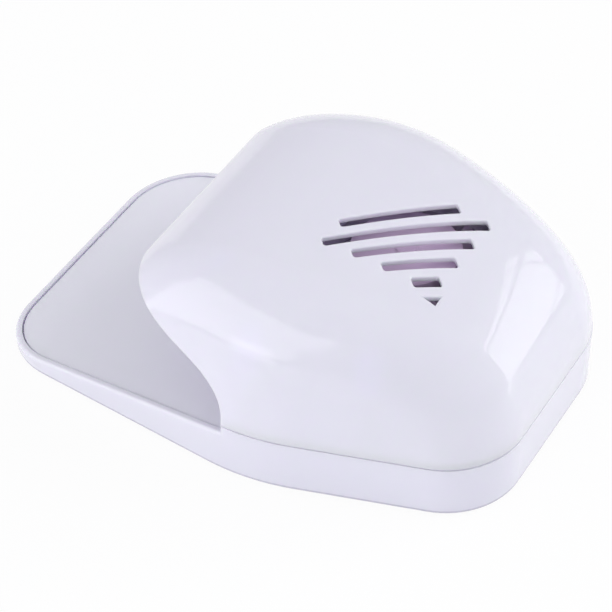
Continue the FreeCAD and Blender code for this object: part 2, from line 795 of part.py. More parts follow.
def build_hood():
    """The upper case: a thin dome with an open mouth, vent slots, posts and a rebate for the tongue."""
    sides = side_sketch()
    wall = size("hood_wall")
    outer = dome("dome_outer", sides, 0.0, size("shoulder_round"))
    inner = dome("dome_inner", sides, wall, size("shoulder_round") - wall)
    under = middle_block("under_dome", "-length", "-1", "2 * length", "length", "%s + 1" % HOOD_BOTTOM)
    trimmed = cut("dome_trimmed", outer, under)
    shell = cut("dome_shell", trimmed, inner)
    heart = dome("dome_heart", sides, wall / 2, size("shoulder_round") - wall / 2)
    bosses, holes = hood_posts(heart)
    rebate = inset_prism("hood_rebate", "tongue_inset - tongue_play", "seam_height - 1",
                         "seam_height + tongue_height + tongue_play")
    solid = join("hood_solid", cut("hood_rebated", shell, rebate), bosses)
    mouthed = cut("hood_mouthed", solid, mouth_tool())
    vented = cut("hood_vented", mouthed, vent_tool())
    eased = fillet_edges("hood_eased", vented, size("vent_round"), vent_edge_test(trimmed))
    part(cut("hood_bored", eased, *holes), "hood")


# ---------------------------------------------------------------- press plate

def build_plate():
    """The sloping press plate, its two pins and the two springs that lift it."""
    low = "(%s + plate_lift)" % FLOOR_TOP
    front = "(-length / 2 - nose_reach)"
    bend = "((%s + plate_drop + plate_thick - rim_front_z) / %s - length / 2)" % (low, RIM_SLOPE)
    sheet = slab("plate_sheet", [
        (front, low), (bend, low), (PLATE_REAR, plate_under_at(PLATE_REAR)),
        (PLATE_REAR, plate_top_at(PLATE_REAR)), (front, plate_top_at(front)),
    ], "4 * middle_half")
    outer = inset_prism("plate_outline", "wall + plate_gap", "0", "seam_height + 10")
    blank = common("plate_blank", sheet, outer)
    sides = []
    for side, sign in SIDES:
        low_y = "tongue_half" if side == "far" else "-tongue_half - 20"
        sides.append(block("plate_side_" + side, "mouth_foot_x + tongue_start", low_y, "0", "length", "20",
                           "40"))
    narrow = cut("plate_narrow", blank, *sides)
    slope = (size("rim_foot_z") - size("rim_front_z")) / (size("mouth_foot_x") + size("length") / 2)
    top = size("rim_front_z") - size("plate_drop")

    def on_top(edge):
        ends = [v.Point for v in edge.Vertexes]
        level = all(abs(top + slope * (p.x + size("length") / 2) - p.z) < 0.01 for p in ends)
        return level and min(p.x for p in ends) < size("mouth_foot_x")

    eased = fillet_edges("plate_eased", narrow, size("plate_edge_round"), on_top)
    rib_foot = "(%s + plunger_rise + rib_gap)" % SWITCH_TOP
    extras = [middle_block("plate_rib", "switch_x - rib_thick / 2", rib_foot, "rib_thick", "rib_width / 2",
                           "%s - %s" % (plate_under_at("switch_x"), rib_foot))]
    holes = []
    for side, sign in SIDES:
        near_y = "pin_reach - pin_length - 0.5" if side == "far" else "-(pin_reach - 1.5)"
        extras.append(block("plate_lug_" + side, "pivot_x - 1.4", near_y, low, "2.8", "pin_length - 1",
                            "pivot_z + pin_radius + 0.2 - %s" % low))
        extras.append(rod("plate_stud_" + side, "spring_x", "%s * spring_y" % sign,
                          "%s - 1.5" % plate_under_at("spring_x"),
                          "spring_radius - 2 * spring_wire - 0.2", "2"))
        start = "pin_reach - pin_length" if side == "far" else "-pin_reach"
        holes.append(rod("plate_pin_hole_" + side, "pivot_x", start, "pivot_z", "pin_radius", "pin_length",
                         "Y"))
    part(cut("plate_cut", join("plate_solid", eased, *extras), *holes), "hand_plate")
    pin = rod("pin_far", "pivot_x", "pin_reach - pin_length", "pivot_z", "pin_radius", "pin_length", "Y")
    part(both_sides("pins", pin), "pivot_pins")
    coil_length = "%s - spring_radius * %s - %s - spring_end_gap" % (
        plate_under_at("spring_x"), RIM_SLOPE, FLOOR_TOP)
    springs = [coil("return_" + side, "spring_x", "%s * spring_y" % sign, FLOOR_TOP, "spring_radius",
                    "spring_wire", "spring_turns", coil_length) for side, sign in SIDES]
    part(group("plate_coils", *springs), "return_springs")


def coil(name, x, y, z, radius, wire, turns, length, axis="Z"):
    """An open coil spring between two flat ends, standing on its low end; each turn is an edge of its own."""
    line = doc.addObject("Part::Helix", name + "_line")
    line.SegmentLength = 1.0
    bind(line, Radius="%s - %s" % (radius, wire), Height="(%s) - 2 * (%s)" % (length, wire),
         Pitch="((%s) - 2 * (%s)) / %s" % (length, wire, turns))
    ring = doc.addObject("Part::Circle", name + "_ring")
    ring.Placement = FreeCAD.Placement(Vec(), TURNS["XZ"])
    bind(ring, Radius=wire, x="%s - %s" % (radius, wire))
    sweep = doc.addObject("Part::Sweep", name)
    sweep.Sections = [ring]
    sweep.Spine = (line, ["Edge%d" % (i + 1) for i in range(math.ceil(size(turns)))])
    sweep.Solid = True
    sweep.Frenet = True
    holder = doc.addObject("Part::Compound", name + "_placed")
    holder.Links = [sweep]
    holder.Placement = FreeCAD.Placement(Vec(), TURNS[axis])
    ends = {"X": (wire, "0", "0"), "Y": ("0", wire, "0"), "Z": ("0", "0", wire)}[axis]
    return bind(holder, x="%s + %s" % (x, ends[0]), y="%s + %s" % (y, ends[1]), z="%s + %s" % (z, ends[2]))


# ---------------------------------------------------------------- switch

def build_switch():
    """The push switch under the plate: body, plunger and two solder terminals."""
    left = "switch_x - switch_length / 2"
    body = doc.addObject("PartDesign::Body", "switch_case")
    sketch = body_sketch(body, "switch_foot", [
        (left, "-switch_width / 2"), ("switch_x + switch_length / 2", "-switch_width / 2"),
        ("switch_x + switch_length / 2", "switch_width / 2"), (left, "switch_width / 2"),
    ], "XY_Plane")
    case = body.newObject("PartDesign::Pad", "switch_pad")
    case.Profile = sketch
    bind(case, Length="switch_height")
    doc.recompute()
    edges = ["Edge%d" % i for i, edge in enumerate(case.Shape.Edges, start=1)
             if edge.BoundBox.ZMin > size("switch_height") - 0.01]
    ease = body.newObject("PartDesign::Chamfer", "switch_ease")
    ease.Base = (case, edges)
    ease.Size = 0.4
    bind(body, z=FLOOR_TOP)
    bore = rod("plunger_bore", "switch_x", "0", "%s + plunger_rise - plunger_length - 2.4" % SWITCH_TOP,
               "plunger_radius + plunger_play", "plunger_length + 5")
    part(cut("switch_bored", body, bore), "switch_body")
    stem = turned_body("plunger", [
        ("0", "0"), ("plunger_radius", "0"), ("plunger_radius", "plunger_length - 0.4"),
        ("plunger_radius - 0.4", "plunger_length"), ("0", "plunger_length"),
    ], "switch_x", "0", "%s + plunger_rise - plunger_length" % SWITCH_TOP)
    part(stem, "switch_plunger")
    tab = block("terminal_far", "switch_x - 0.8", "switch_width / 2", "%s + 1.5" % FLOOR_TOP, "1.6", "2.6",
                "0.4")
    part(both_sides("switch_tabs", tab), "switch_terminals")


# ---------------------------------------------------------------- battery bay

def cell(name, x, sign):
    """One AA cell lying across the dryer, its nub pushed against its contact plate."""
    tip = "(bay_half - contact_thick - contact_touch)"
    start = "%s - nub_length - cell_body" % tip
    can = rod(name + "_can", x, start, CELL_Z, "cell_radius", "cell_body", "Y")
    eased = fillet_edges(name + "_eased", can, 0.5, lambda edge: edge.Closed)
    nub = rod(name + "_nub", x, "%s - nub_length" % tip, CELL_Z, "nub_radius", "nub_length", "Y")
    solid = join(name + "_solid", eased, nub)
    return mirrored(name + "_turned", solid) if sign < 0 else solid


def cell_spring(name, x):
    """The coil that presses on a cell's flat end, from the far contact plate inwards."""
    room = "(2 * (bay_half - contact_thick) - contact_touch - nub_length - cell_body)"
    return coil(name, x, "bay_half - contact_thick - %s + contact_touch" % room, CELL_Z, "cell_spring_radius",
                "cell_spring_wire", "cell_spring_turns", "%s - 2 * contact_touch" % room, "Y")


def build_battery_bay():
    """Two cells, their contacts and springs."""
    part(cell("front_aa", FRONT_CELL_X, -1), "front_cell")
    part(cell("rear_aa", REAR_CELL_X, 1), "rear_cell")
    low = "%s + 1.5" % FLOOR_TOP
    rise = "bay_wall_top - %s - 1.5" % FLOOR_TOP
    near = "-bay_half"
    for name, x in (("positive", FRONT_CELL_X), ("negative", REAR_CELL_X)):
        face = block(name + "_face", "%s - contact_width / 2" % x, near, low, "contact_width",
                     "contact_thick", rise)
        tab = block(name + "_tab", "%s - 0.8" % x, "-bay_half - bay_wall - 1.4", "lead_floor_z + 1.7", "1.6",
                    "bay_wall + 1.5", "0.4")
        part(join(name + "_plate", face, tab), name + "_contact")
    bridge = block("bridge", "%s - contact_width / 2" % FRONT_CELL_X, "bay_half - contact_thick", low,
                   "2 * cell_radius + cell_gap + contact_width", "contact_thick", rise)
    part(bridge, "bridge_contact")
    coils = group("cell_coils", cell_spring("front_coil", FRONT_CELL_X),
                  mirrored("rear_coil_turned", cell_spring("rear_coil", REAR_CELL_X)))
    part(coils, "contact_springs")


def build_door():
    """The battery door under the bay, with hook tabs in front, a catch behind and a foam strip."""
    front = "(%s + door_play)" % DOOR_FRONT
    rear = "(%s - door_play)" % DOOR_REAR
    half = "(door_half - door_play)"
    plate = middle_block("door_plate", front, "foot_lift", "%s - %s" % (rear, front), half, "floor_thick")
    pieces = [plate]
    for side, sign in SIDES:
        low = "%s * tab_y - tab_width / 2" % sign
        pieces.append(block("door_riser_" + side, front, low, "foot_lift", "tab_thick", "tab_width",
                            "floor_thick + 0.2 + tab_thick"))
        pieces.append(block("door_tab_" + side, "%s - tab_reach" % front, low, "%s + 0.2" % FLOOR_TOP,
                            "tab_reach + 0.5", "tab_width", "tab_thick"))
    pieces.append(middle_block("door_catch", "%s - catch_thick" % rear, "foot_lift", "catch_thick",
                               "catch_width / 2", "floor_thick + catch_height"))
    grips = [middle_block("door_grip_%d" % i, "%s - 4 - %d * 1.8" % (rear, i), "0", "0.9", "7",
                          "foot_lift + 0.4") for i in range(4)]
    part(cut("door_cut", join("door_solid", *pieces), *grips), "battery_door")
    between = "(%s + %s) / 2" % (FRONT_CELL_X, REAR_CELL_X)
    part(middle_block("pad", "%s - pad_width / 2" % between, FLOOR_TOP, "pad_width", "pad_length / 2",
                      "pad_thick"), "door_pad")


# ---------------------------------------------------------------- air guide

def grille_parts():
    """Hub disc, ring and spokes that keep fingers off the fan."""
    pieces = [rod("grille_disc", "fan_x", "0", "deck_z", "grille_hub", "deck_thick")]
    ring = cut("grille_ring_cut",
               rod("grille_ring_outer", "fan_x", "0", "deck_z", "grille_ring + grille_bar", "deck_thick"),
               rod("grille_ring_inner", "fan_x", "0", "deck_z - 1", "grille_ring", "deck_thick + 2"))
    pieces.append(ring)
    count = round(size("spoke_count"))
    for i in range(count):
        spoke = block("spoke_%d" % i, "0", "-grille_bar / 2", "0", "grille_radius + 0.5 - grille_hub + 1",
                      "grille_bar", "deck_thick")
        turn = FreeCAD.Rotation(Vec(0, 0, 1), 360.0 * i / count + 180.0 / count)
        angle = "(%d * 360 / spoke_count + 180 / spoke_count)" % i
        spoke.Placement = FreeCAD.Placement(Vec(), turn)
        bind(spoke, x="fan_x + (grille_hub - 1) * cos(%s) + grille_bar / 2 * sin(%s)" % (angle, angle),
             y="(grille_hub - 1) * sin(%s) - grille_bar / 2 * cos(%s)" % (angle, angle), z="deck_z")
        pieces.append(spoke)
    return pieces


def ring_wall(name, inner, wall, low, height):
    """A round wall about the fan's axis."""
    outside = rod(name + "_outside", "fan_x", "0", low, "%s + %s" % (inner, wall), height)
    inside = rod(name + "_inside", "fan_x", "0", "%s - 1" % low, inner, "%s + 2" % height)
    return cut(name, outside, inside)


def build_air_guide():
    """Deck, finger grille, shroud ring, motor socket and rear deflector in one moulding."""
    deck = common("deck_blank", inset_prism("deck_prism", "deck_inset", "deck_z", DECK_TOP),
                  middle_block("deck_keep", "deck_front_x", "0", "deck_rear_x - deck_front_x", "60", "60"))
    throat = rod("deck_throat", "fan_x", "0", "deck_z - 1", "grille_radius", "deck_thick + 2")
    shroud = ring_wall("shroud", "shroud_inner", "shroud_wall", DECK_TOP, "shroud_height")
    socket = ring_wall("motor_socket", "(cap_radius + socket_play)", "socket_wall", DECK_TOP, "cap_height")
    foot = "(bulkhead_x + bulkhead_thick / 2)"
    deflector = slab("deflector", [
        (foot, "bulkhead_top + 0.05"), ("%s + deflector_thick" % foot, "bulkhead_top + 0.05"),
        ("deck_rear_x", "deck_z - deflector_thick"), ("deck_rear_x", "deck_z + 0.5"),
        ("deck_rear_x - deflector_thick", "deck_z + 0.5"),
    ], "2 * deflector_half")
    solid = join("guide_solid", cut("deck_open", deck, throat), *grille_parts(), shroud, socket, deflector)
    holes = []
    for side, sign in SIDES:
        low = "tail_half" if side == "far" else "-tail_half - 30"
        holes.append(block("deck_corner_" + side, "rear_post_x + shoulder_radius + tail_gap", low,
                           "deck_z - 1", "length", "30", "deck_thick + 2"))
    for name, (x, y) in zip(("front", "rear"), CASE_POSTS):
        for side, sign in SIDES:
            holes.append(rod("deck_hole_%s_%s" % (name, side), x, "%s * %s" % (sign, y), "0",
                             "post_radius + deck_play", "%s + 0.05" % DECK_TOP))
    for side, sign in SIDES:
        place = "%s * guide_screw_y" % sign
        holes.append(rod("guide_bore_" + side, "guide_screw_x", place, "0", "bolt_radius + bolt_play", "60"))
        holes.append(rod("guide_sink_" + side, "guide_screw_x", place, "0", "head_radius + head_play",
                         "deck_z + head_height"))
        holes.append(rod("lead_hole_" + side, "bulkhead_x + bulkhead_thick + hole_setback",
                         "%s * lead_y" % sign,
                         "deck_z - 1", "lead_radius + 0.6", "deck_thick + 2"))
        low = "cap_radius - 1" if side == "far" else "-cap_radius - 3"
        holes.append(block("socket_notch_" + side, "fan_x - 1.5", low, DECK_TOP, "3", "4", "cap_height + 1"))
        low = "shroud_inner - 2" if side == "far" else "-shroud_inner - 3"
        holes.append(block("shroud_notch_" + side, "fan_x - 2", low, DECK_TOP, "5", "5", "2.4"))
        holes.append(rod("motor_bore_" + side, "fan_x + %s * motor_screw_offset" % sign, "0", "0",
                         "motor_bolt_radius + bolt_play", "60"))
        holes.append(rod("motor_sink_" + side, "fan_x + %s * motor_screw_offset" % sign, "0", "0",
                         "motor_bolt_radius * 1.8 + head_play", "deck_z + 1"))
    part(cut("guide_cut", solid, *holes), "air_guide")


# ---------------------------------------------------------------- motor and fan

def build_motor():
    """The flat motor that stands in the deck's socket, from its end cap to its shaft."""
    cap = turned_body("end_cap", [
        ("shaft_radius + shaft_play", DECK_TOP + " + 0.5"), ("0", DECK_TOP + " + 0.5"), ("0", DECK_TOP),
        ("cap_radius", DECK_TOP), ("cap_radius", CAP_TOP), ("shaft_radius + shaft_play", CAP_TOP),
    ], "fan_x")
    holes = [rod("cap_hole_" + side, "fan_x + %s * motor_screw_offset" % sign, "0", DECK_TOP,
                 "motor_bolt_radius", "motor_bolt_length - deck_thick + 1.05") for side, sign in SIDES]
    places = {"far": "cap_radius - 1.5", "near": "-cap_radius - 0.5"}
    slots = [block("cap_slot_" + side, "fan_x - 0.85", place, "%s + 0.75" % DECK_TOP, "1.7", "2", "0.5")
             for side, place in places.items()]
    part(cut("cap_drilled", cap, *holes, *slots), "motor_end_cap")
    part(turned_body("can", [
        ("bush_radius", CAN_TOP + " + nose_height"), ("nose_radius", CAN_TOP + " + nose_height"),
        ("nose_radius", CAN_TOP), ("motor_radius", CAN_TOP), ("motor_radius", CAP_TOP),
        ("motor_radius - motor_wall", CAP_TOP), ("motor_radius - motor_wall", CAN_TOP + " - motor_wall"),
        ("bush_radius", CAN_TOP + " - motor_wall"),
    ], "fan_x"), "motor_can")
    part(turned_body("bush", tube_corners("shaft_radius + shaft_play", "bush_radius",
                                          CAN_TOP + " - motor_wall - 0.4", CAN_TOP + " + nose_height"),
                     "fan_x"), "motor_bush")
    part(turned_body("magnet", tube_corners("magnet_inner", "motor_radius - motor_wall - magnet_play",
                                            CAP_TOP + " + 0.6", CAN_TOP + " - motor_wall - 0.6"),
                     "fan_x"), "motor_magnet")
    tab = block("motor_tab_far", "fan_x - 0.8", "cap_radius - 1.4", "%s + 0.8" % DECK_TOP, "1.6", "3.8",
                "0.4")
    part(both_sides("motor_tabs", tab), "motor_terminals")
    part(turned_body("armature", tube_corners("shaft_radius", "armature_radius", CAP_TOP + " + 0.8",
                                              CAN_TOP + " - motor_wall - 0.8"), "fan_x"), "motor_armature")
    low = "(%s + 0.5 + 0.1)" % DECK_TOP
    part(turned_body("shaft", [("0", low), ("shaft_radius", low), ("shaft_radius", SHAFT_TOP + " - 0.2"),
                               ("shaft_radius - 0.2", SHAFT_TOP), ("0", SHAFT_TOP)], "fan_x"), "motor_shaft")


def build_fan():
    """The fan: a cup over the motor with pitched blades round it."""
    inner = "(motor_radius + cup_clearance)"
    outer = "(motor_radius + cup_clearance + cup_wall)"
    body = turned_body("fan", [
        ("shaft_radius", CUP_TOP + " - cup_top"), (inner, CUP_TOP + " - cup_top"), (inner, CUP_BOTTOM),
        (outer, CUP_BOTTOM), (outer, CUP_TOP + " - cup_round"), (outer + " - cup_round", CUP_TOP),
        ("shaft_radius", CUP_TOP),
    ], "fan_x")
    reach = "blade_chord / 2 * cos(blade_pitch)"
    climb = "blade_chord / 2 * sin(blade_pitch)"
    side = "blade_thick / 2 * sin(blade_pitch)"
    lift = "blade_thick / 2 * cos(blade_pitch)"
    middle = "(%s + 0.5 + %s)" % (CUP_BOTTOM, climb)
    sketch = body_sketch(body, "blade_section", [
        ("-(%s) + %s" % (reach, side), "%s - %s - %s" % (middle, climb, lift)),
        ("%s + %s" % (reach, side), "%s + %s - %s" % (middle, climb, lift)),
        ("%s - %s" % (reach, side), "%s + %s + %s" % (middle, climb, lift)),
        ("-(%s) - %s" % (reach, side), "%s - %s + %s" % (middle, climb, lift)),
    ])
    start = "motor_radius + cup_clearance + 0.05"
    sketch.setExpression("AttachmentOffset.Base.z", formula(start))
    blade = body.newObject("PartDesign::Pad", "blade")
    blade.Profile = sketch
    bind(blade, Length="blade_outer - (%s)" % start)
    ring = body.newObject("PartDesign::PolarPattern", "blade_ring")
    ring.Originals = [blade]
    axis = [f for f in body.Origin.OriginFeatures if f.Role == "Z_Axis"][0]
    ring.Axis = (axis, [""])
    ring.Angle = 360
    bind(ring, Occurrences="blade_count")
    body.Tip = ring
    part(body, "fan_impeller")


# ---------------------------------------------------------------- screws, feet and leads

def screw(name, x, y, z, radius, head, length):
    """A screw that points up from the underside of its head, with a cross recess."""
    blank = turned_body(name, [
        ("0", "0"), (head, "0"), (head, "head_height"), (radius, "head_height"),
        (radius, "head_height + %s" % length), ("0", "head_height + %s" % length),
    ], x, y, z)
    arm = "%s * 0.6" % head
    across = block(name + "_slot_a", "%s - %s" % (x, arm), "%s - cross_width / 2" % y, "%s - 0.1" % z,
                   "2 * %s" % arm, "cross_width", "cross_depth + 0.1")
    along = block(name + "_slot_b", "%s - cross_width / 2" % x, "%s - %s" % (y, arm), "%s - 0.1" % z,
                  "cross_width", "2 * %s" % arm, "cross_depth + 0.1")
    return cut(name + "_cut", blank, across, along)


def build_screws():
    """Case screws, guide screws and motor screws."""
    case = []
    for name, (x, y) in zip(("front", "rear"), CASE_POSTS):
        one = screw("case_screw_" + name, x, y, "foot_lift + head_depth", "bolt_radius", "head_radius",
                    "bolt_length")
        case += [one, mirrored("case_screw_%s_twin" % name, one)]
    part(group("case_screw_group", *case), "case_screws")
    one = screw("guide_screw", "guide_screw_x", "guide_screw_y", "deck_z", "bolt_radius", "head_radius",
                "guide_bolt_length")
    part(both_sides("guide_screw_group", one), "guide_screws")
    small = []
    for side, sign in SIDES:
        x = "(fan_x + %s * motor_screw_offset)" % sign
        blank = turned_body("motor_screw_" + side, [
            ("0", "0"), ("motor_bolt_radius * 1.8", "0"), ("motor_bolt_radius * 1.8", "1"),
            ("motor_bolt_radius", "1"), ("motor_bolt_radius", "1 + motor_bolt_length - 0.55"),
            ("0", "1 + motor_bolt_length - 0.55"),
        ], x, "0", "deck_z")
        small.append(blank)
    part(group("motor_screw_group", *small), "motor_screws")


def build_feet():
    """Four rubber pads set in shallow recesses under the base."""
    feet = []
    for name in ("front", "rear"):
        foot = turned_body(name + "_foot", [
            ("0", "0"), ("foot_radius - 0.25", "0"), ("foot_radius", "0.25"),
            ("foot_radius", "foot_lift + foot_sink"), ("0", "foot_lift + foot_sink"),
        ], name + "_foot_x", name + "_foot_y")
        feet += [foot, mirrored(name + "_foot_twin", foot)]
    part(group("feet", *feet), "rubber_feet")


def rounded_path(points):
    """Straight runs joined by tangent arcs as large as each corner allows."""
    edges = []
    start = points[0]
    for before, corner, after in zip(points, points[1:], points[2:]):
        back = (before - corner).normalize()
        ahead = (after - corner).normalize()
        half = back.getAngle(ahead) / 2
        run = 0.45 * min(before.distanceToPoint(corner), after.distanceToPoint(corner))
        middle = corner + (back + ahead).normalize() * (run / math.cos(half) - run * math.tan(half))
        enter, leave = corner + back * run, corner + ahead * run
        edges.append(Part.LineSegment(start, enter).toShape())
        edges.append(Part.Arc(enter, middle, leave).toShape())
        start = leave
    edges.append(Part.LineSegment(start, points[-1]).toShape())
    return Part.Wire(edges)


def lead(label, points):
    """An insulated wire along its route."""
    path = rounded_path(points)
    start = (points[1] - points[0]).normalize()
    ring = Part.Wire(Part.makeCircle(size("lead_radius"), points[0], start))
    item = doc.addObject("Part::Feature", label)
    item.Shape = path.makePipeShell([ring], True, False)
    return part(item, label)


def build_leads():
    """The three leads: battery to switch, switch to motor and battery to motor."""
    low, side, touch = size("lead_floor_z"), size("lead_y"), size("lead_touch")
    tail, bend, rise, hop = size("lead_tail"), size("lead_bend"), size("lead_rise"), size("lead_hop")
    alley = size("bay_half") + size("bay_wall") + size("lead_wall_gap")
    plate = size("bulkhead_x")
    front_cell = plate + size("bulkhead_thick") + size("cell_play") + size("cell_radius")
    rear_cell = front_cell + 2 * size("cell_radius") + size("cell_gap")
    tab_z = low + size("solder_height")
    switch = size("switch_x")
    switch_side = size("switch_width") / 2 + size("tail_length")
    terminal_z = size("foot_lift") + size("floor_thick") + size("tail_height")
    deck = size("deck_z")
    on_deck = deck + size("deck_thick") + size("lead_radius") + size("deck_clearance")
    fan = size("fan_x")
    motor_tab = size("cap_radius") + size("tab_out")
    lead("lead_battery_switch", [
        Vec(front_cell - tail, -alley, tab_z), Vec(front_cell - bend, -side, low),
        Vec(plate - 2 * tail, -side, low), Vec(switch + tail, -side + size("lead_sweep"), low),
        Vec(switch, -switch_side - bend, terminal_z), Vec(switch, -switch_side - touch, terminal_z),
    ])
    hole = plate + size("bulkhead_thick") + size("hole_setback")
    lead("lead_switch_motor", [
        Vec(switch, switch_side + touch, terminal_z), Vec(switch, switch_side + bend, terminal_z),
        Vec(plate - 4 * tail, side - tail, low), Vec(plate - tail, side, low), Vec(hole, side, low),
        Vec(hole, side, deck + hop), Vec(fan + tail, side - bend, on_deck),
        Vec(fan, motor_tab + bend, on_deck), Vec(fan, motor_tab + touch, on_deck),
    ])
    lead("lead_battery_motor", [
        Vec(rear_cell - tail, -alley, tab_z), Vec(rear_cell - bend, -alley, tab_z + tail),
        Vec(front_cell - 2 * tail, -alley, tab_z + 2 * tail), Vec(hole, -side, low + rise),
        Vec(hole, -side, deck + hop), Vec(fan + tail, -side + bend, on_deck),
        Vec(fan, -motor_tab - bend, on_deck), Vec(fan, -motor_tab - touch, on_deck),
    ])


# ---------------------------------------------------------------- build, check and write

def check():
    """Stop with a plain message if anything in the document is wrong."""
    doc.recompute()
    for item in doc.Objects:
        if "Invalid" in item.State or "Error" in item.State:
            raise RuntimeError("%s failed: %s" % (item.Name, item.State))
    for item in parts:
        if item.Shape.isNull() or not item.Shape.isValid() or not item.Shape.Solids:
            raise RuntimeError("%s has no valid solid" % item.Label)


def write():
    """Write one file for each sub-part."""
    os.makedirs("parts", exist_ok=True)
    for item in parts:
        item.Shape.exportStep("parts/%s.step" % item.Label)
        print("%-22s %2d solids %9.1f mm3" % (item.Label, len(item.Shape.Solids), item.Shape.Volume))


build_base()
build_hood()
build_plate()
build_switch()
build_battery_bay()
build_door()
build_air_guide()
build_motor()
build_fan()
build_screws()
build_feet()
build_leads()
check()
write()
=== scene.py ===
"""Looks of the nail polish fan dryer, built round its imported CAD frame.

Metres, in the frame of the CAD: +X runs from the open mouth to the rear and +Z is up. Sizes in
the dataclasses are millimetres, as on a drawing, and are turned into metres where meshes are made.
"""
import logging
import math
from dataclasses import dataclass, field, replace
from enum import Enum
from itertools import product
from typing import Sequence

import bpy
import numpy as np
from mathutils import Matrix, Vector

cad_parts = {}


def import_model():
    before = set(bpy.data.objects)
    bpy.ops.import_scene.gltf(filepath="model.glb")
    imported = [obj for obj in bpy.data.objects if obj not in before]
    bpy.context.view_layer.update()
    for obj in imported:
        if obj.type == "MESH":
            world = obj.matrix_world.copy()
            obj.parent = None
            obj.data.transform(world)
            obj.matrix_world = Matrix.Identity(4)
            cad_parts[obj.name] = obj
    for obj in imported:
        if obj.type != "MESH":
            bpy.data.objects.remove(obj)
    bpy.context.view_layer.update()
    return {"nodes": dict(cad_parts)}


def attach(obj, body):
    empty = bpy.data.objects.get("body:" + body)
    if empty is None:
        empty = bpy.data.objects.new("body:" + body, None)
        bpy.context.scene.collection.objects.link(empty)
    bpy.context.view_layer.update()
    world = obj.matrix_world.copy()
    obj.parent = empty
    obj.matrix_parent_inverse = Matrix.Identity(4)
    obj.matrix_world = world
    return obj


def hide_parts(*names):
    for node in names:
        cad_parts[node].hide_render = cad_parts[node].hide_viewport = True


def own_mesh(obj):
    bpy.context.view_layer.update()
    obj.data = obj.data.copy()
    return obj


LOG = logging.getLogger("dryer")
MM = 0.001
# Places of the Mix node's colour sockets, which share their names with its number sockets.
MIX_FIRST, MIX_SECOND, MIX_RESULT = 6, 7, 2


class Marks(Enum):
    """The way that drawn or turned marks run on a metal piece, as a stretch of its noise."""

    ALONG_Y = (1.0, 0.05, 1.0)
    ALONG_Z = (1.0, 1.0, 0.06)
    WIRE = (1.0, 1.0, 0.3)


class Pole(Enum):
    """The side to which a cell's nub points."""

    FAR = 1.0
    NEAR = -1.0


# ---------------------------------------------------------------- shader graphs

class Signal:
    """A shader socket whose arithmetic adds Math nodes to its graph."""

    def __init__(self, graph: "Graph", socket: bpy.types.NodeSocket) -> None:
        """Keep where the signal comes from.

        Args:
            graph: the graph that it belongs to.
            socket: the output socket that carries it.
        """
        self.graph = graph
        self.socket = socket

    def _math(self, operation: str, *values: object) -> "Signal":
        """Add one Math node."""
        return self.graph.add("ShaderNodeMath", {"operation": operation}, *values)

    def __add__(self, other: object) -> "Signal":
        """Sum."""
        return self._math("ADD", self, other)

    def __radd__(self, other: object) -> "Signal":
        """Sum with the signal on the right."""
        return self._math("ADD", other, self)

    def __sub__(self, other: object) -> "Signal":
        """Difference."""
        return self._math("SUBTRACT", self, other)

    def __rsub__(self, other: object) -> "Signal":
        """Difference with the signal on the right."""
        return self._math("SUBTRACT", other, self)

    def __mul__(self, other: object) -> "Signal":
        """Product."""
        return self._math("MULTIPLY", self, other)

    def __rmul__(self, other: object) -> "Signal":
        """Product with the signal on the right."""
        return self._math("MULTIPLY", other, self)

    def __gt__(self, other: object) -> "Signal":
        """One where the signal is above the value, else zero."""
        return self._math("GREATER_THAN", self, other)

    def __lt__(self, other: object) -> "Signal":
        """One where the signal is below the value, else zero."""
        return self._math("LESS_THAN", self, other)

    def wave(self) -> "Signal":
        """Sine of the signal."""
        return self._math("SINE", self)

    def band(self, low: float, high: float) -> "Signal":
        """Ramp up between two values, and stay between 0 and 1 outside them.

        Args:
            low: where the ramp starts, at 0.
            high: where it ends, at 1.

        Returns:
            The ramped signal.
        """
        return self.graph.add("ShaderNodeMapRange", {"clamp": True}, self, low, high, 0.0, 1.0)


